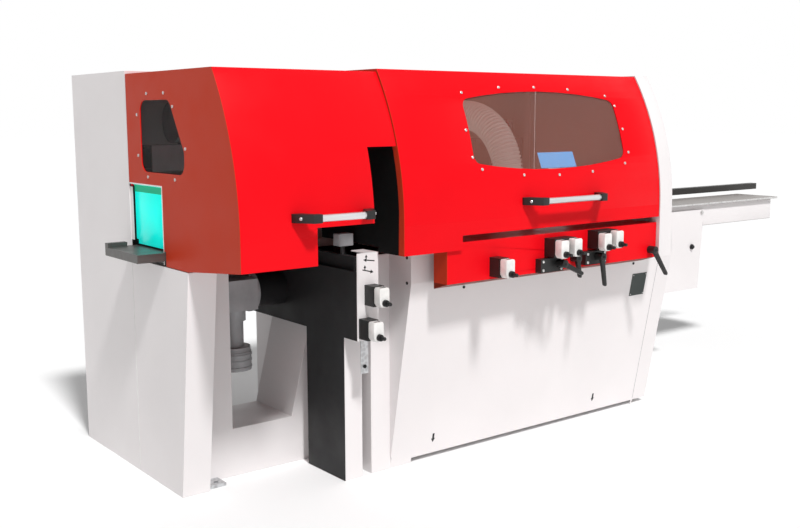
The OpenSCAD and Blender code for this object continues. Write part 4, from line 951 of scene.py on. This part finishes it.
doorLatch = {"spots": ((1650, 220), (1650, 520), (1735, 220), (1735, 520)), "radius": 16, "thick": 5,
             "rim": (3, 1.5), "wing": [(-5, -13), (5, -13), (3.5, 13), (-3.5, 13)], "wingY": 4,
             "wingDeep": 12}
bodies = []
for x, z in doorLatch["spots"]:
    base = startRod("latchBase", (x, door, z), (x, door + doorLatch["thick"], z), doorLatch["radius"], 28)
    insetFaces(base, facing(0, 1, 0), *doorLatch["rim"])
    outline = [(x + px, door + doorLatch["wingY"], z + pz) for px, pz in doorLatch["wing"]]
    wing = slab("latchWing", outline, (0, doorLatch["wingDeep"], 0))
    bodies += [roundOff(base, 0.8), roundOff(wing, 1.5)]
complete(gather("doorLatches", bodies), "black", "frame", "black_plastic")

doorHinge = {"spots": ((1112, 150), (1112, 560), (2278, 150), (2278, 560)), "radius": 6.5, "half": 28,
             "lift": 2, "barrelRim": (2.2, 1.5), "leafX": 24, "leafZ": 26, "leafLift": 1, "leafRim": (4, 0.8)}
bodies = []
for x, z in doorHinge["spots"]:
    y, half = back + doorHinge["lift"], doorHinge["half"]
    leafX, leafZ = doorHinge["leafX"], doorHinge["leafZ"]
    barrel = startRod("doorHinge", (x, y, z - half), (x, y, z + half), doorHinge["radius"], 24)
    insetFaces(barrel, lambda side: abs(side.normal.z) > shading["square"], *doorHinge["barrelRim"])
    leaf = startBlock("doorLeaf", (x - leafX, x + leafX), (door, back + doorHinge["leafLift"]),
                      (z - leafZ, z + leafZ))
    insetFaces(leaf, facing(0, 1, 0), *doorHinge["leafRim"])
    bodies += [roundOff(barrel, 0.6), roundOff(leaf, 0.8)]
complete(gather("doorHinges", bodies), "steel", "frame", "bright_steel")

louvre = {"spots": ((1250, 330), (1860, 330)), "long": 240, "pitch": 26, "count": 9, "round": 1.2,
          "shape": [(-0.5, 0), (8, 1), (8, 3), (1, 17), (-0.5, 17)]}
bodies = []
for x, z in louvre["spots"]:
    for i in range(louvre["count"]):
        low = z + i * louvre["pitch"]
        fin = slab("louvre", [(x, door + py, low + pz) for py, pz in louvre["shape"]], (louvre["long"], 0, 0))
        bodies.append(roundOff(fin, louvre["round"]))
complete(gather("doorLouvres", bodies), "white", "frame", "white_paint")

gland = {"x": 2180, "z": 660, "radius": 17, "thick": 9, "rim": 4, "neck": 12, "bore": (4, -8), "round": 0.8}
x, z = gland["x"], gland["z"]
nut = startRod("glandNut", (x, door, z), (x, door + gland["thick"], z), gland["radius"], 6)
pickFaces(nut, facing(0, 1, 0))
bpy.ops.mesh.inset(thickness=gland["rim"] / 1000)
bpy.ops.mesh.extrude_region_move(TRANSFORM_OT_translate={"value": (0, gland["neck"] / 1000, 0)})
bpy.ops.mesh.inset(thickness=gland["bore"][0] / 1000, depth=gland["bore"][1] / 1000)
bpy.ops.object.mode_set(mode="OBJECT")
complete(roundOff(nut, gland["round"]), "black", "frame", "black_plastic")

panelScrew = {"xs": (60, 380, 700, 1020, 1340, 1660, 1980, 2090), "zs": (722, 1490),
              "columnXs": (20, 232), "columnZs": (60, 300, 540)}
spots = [(x, back, z) for x in panelScrew["xs"] for z in panelScrew["zs"]]
spots += [(x, back, z) for x in panelScrew["columnXs"] for z in panelScrew["columnZs"]]
heads = [standCopy(buttonScrew, at(*spot), (0, 1, 0)) for spot in spots]
complete(gather("panelScrews", heads), "nickel", "frame", "bright_steel")
discard(buttonScrew)
print("rear fittings done")

# pale seal in the seam of the left end

seam = {"x": (-0.7, 2), "y": (362.9, 365.1), "z": (24, 818), "round": 0.5}
seal = startBlock("seamSeal", seam["x"], seam["y"], seam["z"])
complete(roundOff(seal, seam["round"]), "cover", "frame", "white_plastic")
print("seal done")

# floor

clearPick()
bpy.ops.mesh.primitive_plane_add(size=studio["floorSize"], location=(0, 0, -studio["floorDrop"]))
floor = bpy.context.object
floor.name = "studioFloor"
floorFinish = Finish("floorPaper", (0.96, 0.96, 0.96), 0.9)
floorFinish.put("Specular IOR Level", 0.0)
floorFinish.colour(floorFinish.shades(floorFinish.noise(0.4, 2), 0.99, 1.01))
floor.data.materials.append(floorFinish.mat)
